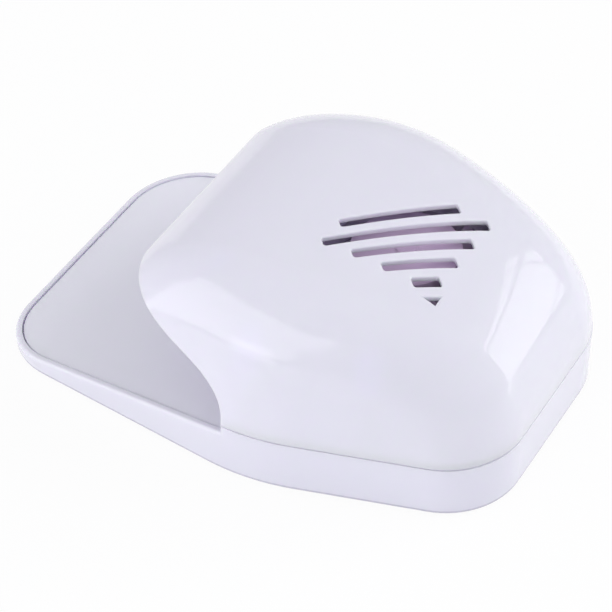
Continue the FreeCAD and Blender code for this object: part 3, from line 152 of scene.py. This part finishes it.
class Graph:
    """The node tree of one material."""

    def __init__(self, name: str) -> None:
        """Make a material with a Principled shader wired to its output.

        Args:
            name: the material's name.
        """
        self.material = bpy.data.materials.new(name)
        self.material.use_nodes = True
        self.tree = self.material.node_tree
        self.tree.nodes.clear()
        self.shader = self.tree.nodes.new("ShaderNodeBsdfPrincipled")
        self.output = self.tree.nodes.new("ShaderNodeOutputMaterial")
        self.tree.links.new(self.shader.outputs[0], self.output.inputs[0])
        self.place = self.add("ShaderNodeTexCoord", {}, out="Object")

    def add(self, kind: str, settings: dict, *inputs: object, out: object = 0) -> Signal:
        """Add a node.

        Args:
            kind: the node's type.
            settings: its properties, set before its inputs.
            inputs: values or signals for its inputs in order; None leaves one as it is.
            out: the output to return, by name or number.

        Returns:
            The chosen output as a signal.
        """
        node = self.tree.nodes.new(kind)
        for name, value in settings.items():
            setattr(node, name, value)
        for socket, value in zip(node.inputs, inputs):
            self.put(socket, value)
        return Signal(self, node.outputs[out])

    def put(self, socket: bpy.types.NodeSocket, value: object) -> None:
        """Link a signal to a socket, or set the socket's own value.

        Args:
            socket: the input socket.
            value: a signal, a number or a colour; None leaves the socket as it is.
        """
        if value is None:
            return
        if isinstance(value, Signal):
            self.tree.links.new(value.socket, socket)
        elif isinstance(value, tuple) and len(value) == 3 and socket.type == "RGBA":
            socket.default_value = (*value, 1.0)
        else:
            socket.default_value = value

    def set(self, **values: object) -> "Graph":
        """Set the shader's inputs.

        Args:
            values: signals or values by input name, with an underscore for each space.

        Returns:
            The graph itself.
        """
        for name, value in values.items():
            self.put(self.shader.inputs[name.replace("_", " ")], value)
        return self

    def noise(self, scale: float, detail: float = 2.0, stretch: tuple = (1.0, 1.0, 1.0)) -> Signal:
        """Soft noise between 0 and 1.

        Args:
            scale: features per metre.
            detail: how many finer layers it has.
            stretch: factors on the axes; a small one draws the noise out along its axis.

        Returns:
            The noise.
        """
        place = self.place
        if stretch != (1.0, 1.0, 1.0):
            place = self.add("ShaderNodeVectorMath", {"operation": "MULTIPLY"}, self.place, stretch)
        return self.add("ShaderNodeTexNoise", {}, place, None, scale, detail, out="Fac")

    def cells(self, scale: float) -> Signal:
        """Distance to the nearest of scattered points."""
        return self.add("ShaderNodeTexVoronoi", {}, self.place, None, scale, out="Distance")

    def axis(self, name: str) -> Signal:
        """One coordinate of the surface point, in metres."""
        return self.add("ShaderNodeSeparateXYZ", {}, self.place, out=name)

    def blend(self, factor: object, first: object, second: object) -> Signal:
        """Mix two colours.

        Args:
            factor: the share of the second.
            first: the colour or signal at factor 0.
            second: the colour or signal at factor 1.

        Returns:
            The mixed colour.
        """
        node = self.tree.nodes.new("ShaderNodeMix")
        node.data_type = "RGBA"
        self.put(node.inputs["Factor"], factor)
        self.put(node.inputs[MIX_FIRST], first)
        self.put(node.inputs[MIX_SECOND], second)
        return Signal(self, node.outputs[MIX_RESULT])

    def bump(self, height: Signal, depth: float, strength: float) -> "Graph":
        """Feed a height through a Bump node into the normal.

        Args:
            height: the relief, between 0 and 1.
            depth: how deep the relief is, in metres.
            strength: how much of it shows.

        Returns:
            The graph itself.
        """
        normal = self.add("ShaderNodeBump", {}, strength, depth)
        self.put(normal.socket.node.inputs["Height"], height)
        return self.set(Normal=normal)


@dataclass(frozen=True)
class Plastic:
    """A moulded plastic finish; scales are features per metre, depths and heights are metres."""

    name: str
    colour: tuple
    shade: tuple
    roughness: float
    grain: float
    grain_depth: float
    coat: float = 0.0
    glow: float = 0.0
    sheen: float = 0.5
    # Height in metres, and grey, of a painted contact shade on the lower edge.
    painted_shade_height: float = 0.0
    painted_shade_colour: tuple = (0.57, 0.55, 0.66)
    drift_scale: float = 38.0
    haze_scale: float = 160.0
    haze_swing: float = 0.06
    grain_strength: float = 0.25
    index: float = 1.49
    coat_roughness: float = 0.03
    light_depth: float = 0.0022
    light_tint: tuple = (1.0, 0.85, 1.0)

    def paint_contact_shade(self, graph: Graph, colour: Signal) -> Signal:
        """Grey the part's lower edge up to the given height: painted shade, standing in for the
        contact shadow where it meets the floor.

        Args:
            graph: the material's graph.
            colour: the colour without the painted shade.

        Returns:
            The colour with painted shade on the lower edge; the flat underside is left unshaded.
        """
        normal = graph.add("ShaderNodeTexCoord", {}, out="Normal")
        upright = graph.add("ShaderNodeSeparateXYZ", {}, normal, out="Z").band(-0.99, -0.9)
        low = 1.0 - graph.axis("Z").band(self.painted_shade_height * 0.7, self.painted_shade_height)
        return graph.blend(low * upright, colour, self.painted_shade_colour)

    def material(self) -> bpy.types.Material:
        """Build the finish: a drift of tone, uneven gloss, a fine skin and light in its depth.

        Returns:
            The material.
        """
        graph = Graph(self.name)
        drift = graph.noise(self.drift_scale, 3.0)
        haze = graph.noise(self.haze_scale, 4.0)
        skin = graph.noise(self.grain, 2.0)
        colour = graph.blend(drift.band(0.3, 0.7), self.colour, self.shade)
        # Painted shade: the lower edge is greyed where the part meets the floor.
        if self.painted_shade_height:
            colour = self.paint_contact_shade(graph, colour)
        graph.set(Base_Color=colour, Roughness=(haze - 0.5) * self.haze_swing + self.roughness,
                  IOR=self.index, Coat_Weight=self.coat, Coat_Roughness=self.coat_roughness,
                  Specular_IOR_Level=self.sheen, Subsurface_Weight=self.glow,
                  Subsurface_Scale=self.light_depth, Subsurface_Radius=self.light_tint)
        return graph.bump(skin, self.grain_depth, self.grain_strength).material


@dataclass(frozen=True)
class Metal:
    """A metal finish with drawn or turned marks along an axis; scales are features per metre."""

    name: str
    colour: tuple
    shade: tuple
    roughness: float
    marks: Marks
    line_scale: float = 900.0
    line_swing: float = 0.14
    line_depth: float = 0.00003
    line_strength: float = 0.4
    tarnish_scale: float = 140.0
    tarnish_swing: float = 0.1

    def material(self) -> bpy.types.Material:
        """Build the finish: fine drawn lines, patchy tarnish and uneven gloss.

        Returns:
            The material.
        """
        graph = Graph(self.name)
        lines = graph.noise(self.line_scale, 3.0, self.marks.value)
        tarnish = graph.noise(self.tarnish_scale, 4.0)
        uneven = (lines - 0.5) * self.line_swing + (tarnish - 0.5) * self.tarnish_swing
        graph.set(Base_Color=graph.blend(tarnish.band(0.35, 0.75), self.colour, self.shade),
                  Metallic=1.0, Roughness=uneven + self.roughness)
        return graph.bump(lines, self.line_depth, self.line_strength).material


WHITE = (0.80, 0.79, 0.905)
WHITE_SHADE = (0.79, 0.78, 0.896)
CASE = Plastic("case_white", WHITE, WHITE_SHADE, roughness=0.22, grain=900.0, grain_depth=0.000012,
               coat=0.9, glow=0.7, sheen=0.25)
# The base gets painted contact shade on its lower edge, 1.35 mm high.
BASE = replace(CASE, name="base_white", painted_shade_height=0.00135)
PLATE = Plastic("plate_white", (0.86, 0.85, 0.98), (0.85, 0.84, 0.97), roughness=0.34, grain=2600.0,
                grain_depth=0.00003, glow=0.5)
GUIDE = Plastic("guide_lilac", (0.75, 0.68, 0.81), (0.72, 0.65, 0.78), roughness=0.46, grain=1800.0,
                grain_depth=0.00004)
FAN = Plastic("fan_lilac", (0.74, 0.58, 0.78), (0.71, 0.55, 0.75), roughness=0.36, grain=1500.0,
              grain_depth=0.00003)
SWITCH = Plastic("switch_black", (0.022, 0.022, 0.025), (0.03, 0.03, 0.034), roughness=0.42,
                 grain=2400.0, grain_depth=0.00004)
PLUNGER = Plastic("plunger_red", (0.45, 0.04, 0.03), (0.40, 0.035, 0.03), roughness=0.34,
                  grain=1500.0, grain_depth=0.00003)
END_CAP = Plastic("cap_cream", (0.72, 0.68, 0.58), (0.69, 0.65, 0.55), roughness=0.44, grain=1800.0,
                  grain_depth=0.00004)
ZINC = Metal("zinc_plate", (0.62, 0.62, 0.60), (0.50, 0.50, 0.49), 0.34, Marks.ALONG_Z)
WIRE = Metal("spring_wire", (0.55, 0.55, 0.54), (0.42, 0.42, 0.42), 0.30, Marks.WIRE)
NICKEL = Metal("nickel_strip", (0.72, 0.69, 0.64), (0.60, 0.57, 0.52), 0.26, Marks.ALONG_Y)
CAN = Metal("motor_can_steel", (0.66, 0.65, 0.63), (0.54, 0.53, 0.52), 0.28, Marks.ALONG_Z)
BRASS = Metal("bush_brass", (0.72, 0.53, 0.25), (0.58, 0.41, 0.18), 0.30, Marks.ALONG_Z)
# Where a cell's wrap changes, in metres from the case's middle towards the cell's nub.
BAND_START, BAND_END, BARE_START = 0.0085, 0.0268, -0.02215
# How fast the wave of the winding's wires runs, in radians per metre.
WINDING_RATE = 18000.0


def ferrite_material() -> bpy.types.Material:
    """Dark fired ferrite with a dusty grain.

    Returns:
        The material.
    """
    graph = Graph("ferrite")
    grain = graph.noise(1500.0, 5.0)
    graph.set(Base_Color=graph.blend(grain, (0.03, 0.03, 0.033), (0.07, 0.068, 0.07)),
              Roughness=grain * 0.2 + 0.55)
    return graph.bump(grain, 0.00006, 0.6).material


def winding_material() -> bpy.types.Material:
    """Enamelled copper wire laid in close turns.

    Returns:
        The material.
    """
    graph = Graph("copper_winding")
    turns = (graph.axis("Z") * WINDING_RATE + graph.noise(220.0) * 3.0).wave()
    copper = graph.blend(turns.band(-1.0, 1.0), (0.30, 0.10, 0.035), (0.62, 0.27, 0.10))
    graph.set(Base_Color=copper, Metallic=0.9, Roughness=0.3 - turns * 0.06)
    return graph.bump(turns, 0.00008, 0.7).material


def cell_material(name: str, nub: Pole) -> bpy.types.Material:
    """A plain film-wrapped cell: a dark body, a coloured end band and bare steel at both ends.

    Args:
        name: the material's name.
        nub: the side to which the cell's nub points.

    Returns:
        The material.
    """
    graph = Graph(name)
    along = graph.axis("Y") * nub.value
    shrink = graph.noise(500.0, 3.0, (1.0, 0.15, 1.0))
    band = (along > BAND_START) * (along < BAND_END)
    bare = (along > BAND_END) + (along < BARE_START)
    film = graph.blend(band, (0.022, 0.024, 0.032), (0.50, 0.23, 0.06))
    graph.set(Base_Color=graph.blend(bare, film, (0.62, 0.61, 0.59)), Coat_Weight=0.3,
              Metallic=bare * 0.35 + band * 0.6, Roughness=0.2 + shrink * 0.12)
    return graph.bump(shrink, 0.00003, 0.4).material


def rubber_material() -> bpy.types.Material:
    """Dull moulded rubber with a fine grain and picked-up dust.

    Returns:
        The material.
    """
    graph = Graph("foot_rubber")
    grain = graph.noise(2200.0, 3.0)
    dust = graph.noise(260.0, 5.0).band(0.55, 0.8)
    graph.set(Base_Color=graph.blend(dust * 0.5, (0.055, 0.055, 0.06), (0.13, 0.13, 0.13)),
              Roughness=0.62 + grain * 0.2)
    return graph.bump(grain, 0.00008, 0.7).material


def foam_material() -> bpy.types.Material:
    """Open-cell foam.

    Returns:
        The material.
    """
    graph = Graph("pad_foam")
    pores = graph.cells(2600.0)
    colour = graph.blend(pores.band(0.1, 0.6), (0.02, 0.02, 0.022), (0.11, 0.11, 0.115))
    graph.set(Base_Color=colour, Roughness=0.9)
    return graph.bump(pores, 0.0002, 1.0).material


def lead_material(name: str, colour: tuple) -> bpy.types.Material:
    """Extruded wire insulation.

    Args:
        name: the material's name.
        colour: the insulation's colour.

    Returns:
        The material.
    """
    graph = Graph(name)
    skin = graph.noise(1200.0, 2.0)
    darker = tuple(c * 0.8 for c in colour)
    graph.set(Base_Color=graph.blend(skin, colour, darker), Roughness=0.34 + skin * 0.12)
    return graph.bump(skin, 0.00003, 0.5).material


# ---------------------------------------------------------------- mesh helpers

def deselect() -> None:
    """Leave object mode clean: nothing selected."""
    if bpy.context.object and bpy.context.object.mode != "OBJECT":
        bpy.ops.object.mode_set(mode="OBJECT")
    bpy.ops.object.select_all(action="DESELECT")


def select(piece: bpy.types.Object) -> bpy.types.Object:
    """Make a piece the only selected and active one.

    Args:
        piece: the object to select.

    Returns:
        The same object.
    """
    deselect()
    piece.select_set(True)
    bpy.context.view_layer.objects.active = piece
    return piece


def settle(piece: bpy.types.Object) -> bpy.types.Object:
    """Apply a piece's place, turn and scale to its mesh.

    Args:
        piece: the object to settle.

    Returns:
        The same object, at the origin, unturned and unscaled.
    """
    select(piece)
    bpy.ops.object.transform_apply(location=True, rotation=True, scale=True)
    return piece


def modify(piece: bpy.types.Object, kind: str, **settings: object) -> bpy.types.Object:
    """Add a modifier and apply it.

    Args:
        piece: the object to change.
        kind: the modifier's type.
        settings: its properties by name.

    Returns:
        The same object.
    """
    select(piece)
    modifier = piece.modifiers.new(kind.lower(), kind)
    for name, value in settings.items():
        setattr(modifier, name, value)
    bpy.ops.object.modifier_apply(modifier=modifier.name)
    return piece


def smooth(piece: bpy.types.Object, degrees: float) -> bpy.types.Object:
    """Shade smooth, and keep sharp edges crisp.

    Args:
        piece: the object to shade.
        degrees: edges that turn by more than this stay crisp.

    Returns:
        The same object.
    """
    select(piece)
    bpy.ops.object.shade_smooth_by_angle(angle=math.radians(degrees))
    return piece


def turned(name: str, profile: Sequence[tuple], steps: int = 120) -> bpy.types.Object:
    """Turn a closed profile about Z.

    Args:
        name: the piece's name.
        profile: its corners as (radius, height), in millimetres.
        steps: how many steps the turn has.

    Returns:
        The turned piece.
    """
    deselect()
    bpy.ops.mesh.primitive_circle_add(vertices=len(profile), radius=1.0)
    piece = bpy.context.object
    piece.name = name
    for vertex, (radius, height) in zip(piece.data.vertices, profile):
        vertex.co = (radius * MM, 0.0, height * MM)
    modify(piece, "SCREW", angle=2 * math.pi, steps=steps, render_steps=steps,
           use_merge_vertices=True, merge_threshold=1e-6, use_normal_calculate=True)
    return face_outwards(piece)


def face_outwards(piece: bpy.types.Object) -> bpy.types.Object:
    """Turn every face's normal outwards.

    Args:
        piece: the closed object to mend.

    Returns:
        The same object.
    """
    select(piece)
    bpy.ops.object.mode_set(mode="EDIT")
    bpy.ops.mesh.select_all(action="SELECT")
    bpy.ops.mesh.normals_make_consistent(inside=False)
    bpy.ops.object.mode_set(mode="OBJECT")
    return piece


def merge(name: str, pieces: Sequence[bpy.types.Object]) -> bpy.types.Object:
    """Join pieces into one object.

    Args:
        name: the joined object's name.
        pieces: the objects to join; the first one stays.

    Returns:
        The joined object.
    """
    deselect()
    for piece in pieces:
        piece.select_set(True)
    bpy.context.view_layer.objects.active = pieces[0]
    bpy.ops.object.join()
    pieces[0].name = name
    return pieces[0]


def dress(piece: bpy.types.Object, material: bpy.types.Material) -> bpy.types.Object:
    """Give a whole piece one material.

    Args:
        piece: the object to dress.
        material: its only material from now on.

    Returns:
        The same object.
    """
    piece.data.materials.clear()
    piece.data.materials.append(material)
    return piece


# ---------------------------------------------------------------- fan

@dataclass
class Fan:
    """The impeller: a cup over the motor with seven curved and twisted blades.

    The crease and the smooth limit are angles in degrees, and the sweep is one in radians. The
    camber is a factor on the chord.
    """

    axis_x: float = 28.6
    bore: float = 1.0
    inner: float = 12.7
    outer: float = 13.6
    tip: float = 20.5
    top: float = 44.8
    roof: float = 1.3
    hub: float = 2.8
    hub_rise: float = 0.5
    hub_slope: float = 0.3
    hub_skin: float = 0.2
    pip: float = 0.05
    bottom: float = 35.0
    edge: float = 0.7
    blades: int = 7
    blade_low: float = 35.3
    blade_high: float = 40.9
    thickness: float = 0.8
    hub_chord: float = 7.0
    tip_chord: float = 9.4
    sweep: float = 0.16
    camber: float = 0.16
    root_sink: float = 0.4
    tip_trim: float = 0.5
    blade_edge: float = 0.3
    crease: float = 50.0
    smooth_below: float = 35.0
    columns: int = 17
    rows: int = 13

    def build_cup(self) -> bpy.types.Object:
        """The cup that covers the motor, open below, with a low hub over the shaft's end.

        Returns:
            The cup, about the Z axis.
        """
        crown, ceiling = self.top + self.hub_rise, self.top - self.roof
        under_hub = crown - self.hub_skin
        cup = turned("fan_cup", [
            (self.bore, ceiling), (self.inner, ceiling), (self.inner, self.bottom),
            (self.outer, self.bottom), (self.outer, self.top), (self.hub, self.top),
            (self.hub - self.hub_slope, crown), (self.pip, crown), (self.pip, under_hub),
            (self.bore, under_hub)])
        return modify(cup, "BEVEL", width=self.edge * MM / 2, segments=3, limit_method="ANGLE",
                      angle_limit=math.radians(self.crease))

    def blade_points(self) -> np.ndarray:
        """Points of one blade's middle surface, in millimetres about the fan's axis.

        Returns:
            Rows from the cup to the tip, each running from the high leading edge to the low
            trailing one.
        """
        out = np.linspace(0.0, 1.0, self.rows)[:, None]
        along = np.linspace(-0.5, 0.5, self.columns)[None, :]
        root = self.outer - self.root_sink
        radius = root + (self.tip - root) * out
        chord = self.hub_chord + (self.tip_chord - self.hub_chord) * out
        rise = self.blade_high - self.blade_low
        bow = self.camber * chord * (0.25 - along ** 2)
        run = np.sqrt(np.maximum(chord ** 2 - rise ** 2, 1.0))
        height = (self.blade_low + self.blade_high) / 2 - along * rise + bow * run / chord
        turn = -along * run / radius + self.sweep * out - bow * rise / chord / radius
        reach = radius - self.tip_trim * (2 * np.abs(along)) ** 6 * out
        return np.stack([reach * np.cos(turn), reach * np.sin(turn), height], axis=-1)

    def build_blade(self, number: int) -> bpy.types.Object:
        """One blade of the ring.

        Args:
            number: its place in the ring, from 0.

        Returns:
            The blade, turned to its place about the Z axis.
        """
        deselect()
        bpy.ops.mesh.primitive_grid_add(x_subdivisions=self.columns - 1,
                                        y_subdivisions=self.rows - 1, size=1.0)
        blade = bpy.context.object
        blade.data.vertices.foreach_set("co", (self.blade_points().reshape(-1, 3) * MM).ravel())
        blade.data.update()
        modify(blade, "SOLIDIFY", thickness=self.thickness * MM, offset=0.0)
        modify(blade, "BEVEL", width=self.blade_edge * MM, segments=2, limit_method="ANGLE",
               angle_limit=math.radians(self.crease))
        blade.rotation_euler = (0, 0, 2 * math.pi * number / self.blades)
        return settle(blade)

    def build(self) -> bpy.types.Object:
        """Make the whole impeller.

        Returns:
            One piece, on the fan's axis.
        """
        pieces = [self.build_cup()] + [self.build_blade(number) for number in range(self.blades)]
        fan = merge("fan_wheel", pieces)
        fan.location = (self.axis_x * MM, 0, 0)
        return smooth(settle(fan), self.smooth_below)


# ---------------------------------------------------------------- return springs

@dataclass
class Springs:
    """The two coils under the press plate, with a closed turn at each end.
    """

    low: float
    high: float
    place_x: float = 8.0
    place_y: float = 24.0
    radius: float = 2.4
    wire: float = 0.3
    turns: float = 5.0
    steps: int = 30
    bevel_steps: int = 3
    smooth_below: float = 50.0
    keep: float = 0.8

    def path(self, side: float) -> np.ndarray:
        """The middle line of one coil's wire.

        Args:
            side: +1 for the far coil, -1 for the near one.

        Returns:
            Points in millimetres, from the foot to the top.
        """
        all_turns = self.turns + 2
        turn = np.linspace(0.0, all_turns, int(self.steps * all_turns))
        closed = 2 * self.wire
        pitch = (self.high - self.low - 2 * self.wire - 2 * closed) / self.turns
        open_turns = np.clip(turn - 1, 0, self.turns)
        height = self.low + self.wire + closed * (turn - open_turns) + pitch * open_turns
        angle = 2 * math.pi * turn
        return np.stack([self.place_x + self.radius * np.cos(angle),
                         side * self.place_y + self.radius * np.sin(angle), height], axis=-1)

    def build_coil(self, side: float) -> bpy.types.Object:
        """Make one coil as a round wire along its middle line.

        Args:
            side: +1 for the far coil, -1 for the near one.

        Returns:
            The coil as a mesh.
        """
        deselect()
        points = self.path(side) * MM
        curve = bpy.data.curves.new("return_coil", "CURVE")
        curve.dimensions = "3D"
        curve.bevel_depth = self.wire * MM
        curve.bevel_resolution = self.bevel_steps
        curve.use_fill_caps = True
        spline = curve.splines.new("POLY")
        spline.points.add(len(points) - 1)
        spline.points.foreach_set("co", np.column_stack([points, np.ones(len(points))]).ravel())
        coil = bpy.data.objects.new("return_coil", curve)
        bpy.context.collection.objects.link(coil)
        select(coil)
        bpy.ops.object.convert(target="MESH")
        return bpy.context.object

    def build(self) -> bpy.types.Object:
        """Make both coils.

        Returns:
            One piece.
        """
        coils = merge("return_coils", [self.build_coil(1.0), self.build_coil(-1.0)])
        return smooth(coils, self.smooth_below)


# ---------------------------------------------------------------- stage

@dataclass(frozen=True)
class Softbox:
    """A rectangular lamp aimed at a point, in metres and watts."""

    name: str
    place: tuple
    aim: tuple
    size: tuple
    watts: float
    mirrored: bool = True

    def add(self) -> None:
        """Put the lamp in the scene; glossy surfaces show it only if it is mirrored."""
        data = bpy.data.lights.new(self.name, "AREA")
        data.shape = "RECTANGLE"
        data.size, data.size_y = self.size
        data.energy = self.watts
        lamp = bpy.data.objects.new(self.name, data)
        bpy.context.collection.objects.link(lamp)
        lamp.location = self.place
        facing = Vector(self.aim) - Vector(self.place)
        lamp.rotation_euler = facing.to_track_quat("-Z", "Y").to_euler()
        lamp.visible_glossy = self.mirrored


@dataclass
class Studio:
    """Floor, backdrop, soft lamps and the camera.

    The target, the distance, the sensor and the window's corners are in millimetres, the clip and
    the floor in metres, and the angles in degrees. Columns and rows say where each pane of the
    window starts and ends.
    """

    focal_pixels: float = 2399.5
    picture: int = 612
    sensor: float = 36.0
    clip: tuple = (0.01, 20.0)
    target: tuple = (-1.139, 2.323, 10.6)
    elevation: float = 42.704
    azimuth: float = 30.808
    roll: float = -1.258
    distance: float = 611.72
    floor_size: float = 6.0
    floor_gap: float = 0.00005
    floor_colour: tuple = (0.9, 0.9, 0.92)
    floor_seen: float = 0.93
    floor_mirrored: float = 0.6
    world_colour: tuple = (0.97, 0.97, 1.0, 1.0)
    world_level: float = 0.6
    lamps: tuple = (
        Softbox("rear_softbox", (0.60, 0.45, 0.50), (0.05, 0, 0.04), (0.7, 0.5), 3.7, False),
        Softbox("near_softbox", (-0.42, -0.70, 0.46), (0, 0, 0.02), (1.4, 0.8), 4.3),
        Softbox("near_glint", (-0.089, -0.432, 0.068), (0.011, -0.044, 0.044), (0.16, 0.12), 0.08))
    window: tuple = ((173.5, 228.7, 247.0), (239.0, 173.0, 167.0),
                     (286.5, 225.0, 62.8), (223.0, 87.0, 3.0))
    columns: tuple = ((0.0, 0.08), (0.13, 1.0))
    rows: tuple = ((0.0, 0.155), (0.2, 1.0))
    window_level: float = 2.4

    def add_camera(self) -> None:
        """Place the camera at the viewing angle."""
        data = bpy.data.cameras.new("camera")
        camera = bpy.data.objects.new("camera", data)
        bpy.context.collection.objects.link(camera)
        data.sensor_width = self.sensor
        data.lens = self.focal_pixels * self.sensor / self.picture
        data.clip_start, data.clip_end = self.clip
        rise, turn = math.radians(self.elevation), math.radians(self.azimuth)
        level = math.cos(rise)
        back = Vector((math.sin(turn) * level, -math.cos(turn) * level, math.sin(rise)))
        right = (-back).cross(Vector((0, 0, 1))).normalized()
        up = right.cross(-back)
        lean = math.radians(self.roll)
        across = right * math.cos(lean) + up * math.sin(lean)
        over = up * math.cos(lean) - right * math.sin(lean)
        eye = (Vector(self.target) + back * self.distance) * MM
        turn_matrix = Matrix((across, over, back)).transposed().to_4x4()
        camera.matrix_world = Matrix.Translation(eye) @ turn_matrix
        bpy.context.scene.camera = camera

    def add_floor(self) -> None:
        """A wide pale floor that stays white to the eye."""
        deselect()
        bpy.ops.mesh.primitive_plane_add(size=self.floor_size, location=(0, 0, -self.floor_gap))
        floor = bpy.context.object
        floor.name = "studio_floor"
        graph = Graph("studio_floor")
        graph.set(Base_Color=self.floor_colour, Roughness=0.9, Specular_IOR_Level=0.1)
        dress(floor, graph.material)
        self._show_white(graph)

    def _show_white(self, graph: Graph) -> None:
        """Let the camera, and mirrored rays, see nearly plain white, while shadows still show.

        Args:
            graph: the floor's graph.
        """
        path = graph.tree.nodes.new("ShaderNodeLightPath")
        glow = graph.tree.nodes.new("ShaderNodeEmission")
        glow.inputs["Color"].default_value = (1.0, 1.0, 1.0, 1.0)
        glow.inputs["Strength"].default_value = 1.0
        mixer = graph.tree.nodes.new("ShaderNodeMixShader")
        seen = Signal(graph, path.outputs["Is Camera Ray"])
        mirrored = Signal(graph, path.outputs["Is Glossy Ray"])
        passed = Signal(graph, path.outputs["Is Transmission Ray"])
        factor = seen * self.floor_seen + (mirrored + passed) * self.floor_mirrored
        graph.put(mixer.inputs[0], factor)
        graph.tree.links.new(graph.shader.outputs[0], mixer.inputs[1])
        graph.tree.links.new(glow.outputs[0], mixer.inputs[2])
        graph.tree.links.new(mixer.outputs[0], graph.output.inputs[0])

    def add_world(self) -> None:
        """Even soft light from all round; white where the camera looks past the floor."""
        world = bpy.data.worlds.new("studio")
        bpy.context.scene.world = world
        world.use_nodes = True
        tree = world.node_tree
        background = next(n for n in tree.nodes if n.type == "BACKGROUND")
        background.inputs["Color"].default_value = self.world_colour
        path = tree.nodes.new("ShaderNodeLightPath")
        level = tree.nodes.new("ShaderNodeMapRange")
        tree.links.new(path.outputs["Is Camera Ray"], level.inputs["Value"])
        level.inputs["To Min"].default_value = self.world_level
        level.inputs["To Max"].default_value = 1.0
        tree.links.new(level.outputs[0], background.inputs["Strength"])

    def add_window(self) -> None:
        """A small slanted window of four panes, mirrored as a strip in the rear rounding."""
        graph = Graph("studio_window")
        graph.set(Base_Color=(0.0, 0.0, 0.0), Specular_IOR_Level=0.0,
                  Emission_Color=(1.0, 1.0, 1.0), Emission_Strength=self.window_level)
        top_left, top_right, low_left, low_right = (Vector(corner) * MM for corner in self.window)
        for number, (column, row) in enumerate(product(self.columns, self.rows)):
            deselect()
            bpy.ops.mesh.primitive_plane_add(size=1.0)
            pane = bpy.context.object
            pane.name = "studio_pane_%d" % number
            corners = [top_left.lerp(low_left, down).lerp(top_right.lerp(low_right, down), over)
                       for down in column for over in row]
            for vertex, corner in zip(pane.data.vertices, corners):
                vertex.co = corner
            dress(pane, graph.material)
            pane.visible_camera = False
            pane.visible_diffuse = False
            pane.visible_shadow = False

    def build(self) -> None:
        """Set up the whole stage."""
        self.add_camera()
        self.add_floor()
        self.add_world()
        for lamp in self.lamps:
            lamp.add()
        self.add_window()
        bpy.context.scene.view_settings.view_transform = "Standard"


# ---------------------------------------------------------------- the dryer

@dataclass
class Dryer:
    """The whole dryer: CAD nodes with their finishes, and the pieces made here."""

    nodes: dict
    fan: Fan = field(default_factory=Fan)
    finishes: dict = field(default_factory=dict)

    def finish_nodes(self) -> None:
        """Give every CAD node its own material."""
        case, zinc, wire, nickel = (finish.material() for finish in (CASE, ZINC, WIRE, NICKEL))
        red = lead_material("lead_red", (0.45, 0.02, 0.015))
        finishes = {
            "base_shell": BASE.material(), "hood": case, "battery_door": case,
            "hand_plate": PLATE.material(), "pivot_pins": zinc, "motor_shaft": zinc,
            "case_screws": zinc, "guide_screws": zinc, "motor_screws": zinc,
            "return_springs": wire, "contact_springs": wire, "switch_body": SWITCH.material(),
            "switch_plunger": PLUNGER.material(), "switch_terminals": nickel,
            "motor_terminals": nickel, "positive_contact": nickel, "negative_contact": nickel,
            "bridge_contact": nickel, "air_guide": GUIDE.material(), "fan_impeller": FAN.material(),
            "motor_end_cap": END_CAP.material(), "motor_can": CAN.material(),
            "motor_bush": BRASS.material(), "motor_magnet": ferrite_material(),
            "motor_armature": winding_material(),
            "front_cell": cell_material("front_cell_film", Pole.NEAR),
            "rear_cell": cell_material("rear_cell_film", Pole.FAR),
            "rubber_feet": rubber_material(), "door_pad": foam_material(),
            "lead_battery_switch": red, "lead_switch_motor": red,
            "lead_battery_motor": lead_material("lead_black", (0.02, 0.02, 0.022)),
        }
        for name, material in finishes.items():
            dress(self.nodes[name], material)
            LOG.info("finished node %s", name)
        self.finishes = finishes

    def build_fan(self) -> None:
        """Put the curved impeller in place of the plain one."""
        piece = dress(self.fan.build(), self.finishes["fan_impeller"])
        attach(piece, "rotor")
        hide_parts("fan_impeller")
        LOG.info("built %s: %d faces", piece.name, len(piece.data.polygons))

    def build_springs(self) -> None:
        """Put wound coils in place of the stiff ones."""
        node = self.nodes["return_springs"]
        heights = [(node.matrix_world @ vertex.co).z / MM for vertex in node.data.vertices]
        springs = Springs(min(heights), max(heights))
        piece = dress(springs.build(), self.finishes["return_springs"])
        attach(piece, "case")
        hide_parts("return_springs")
        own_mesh(piece)
        LOG.info("built %s: %d faces", piece.name, len(piece.data.polygons))

    def build(self) -> None:
        """Dress and build everything in order."""
        self.finish_nodes()
        self.build_fan()
        self.build_springs()


def main() -> None:
    """Build the dryer round its frame, then the stage."""
    logging.basicConfig(level=logging.INFO)
    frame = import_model()
    Dryer(frame["nodes"]).build()
    Studio().build()


if __name__ == "__main__":
    main()
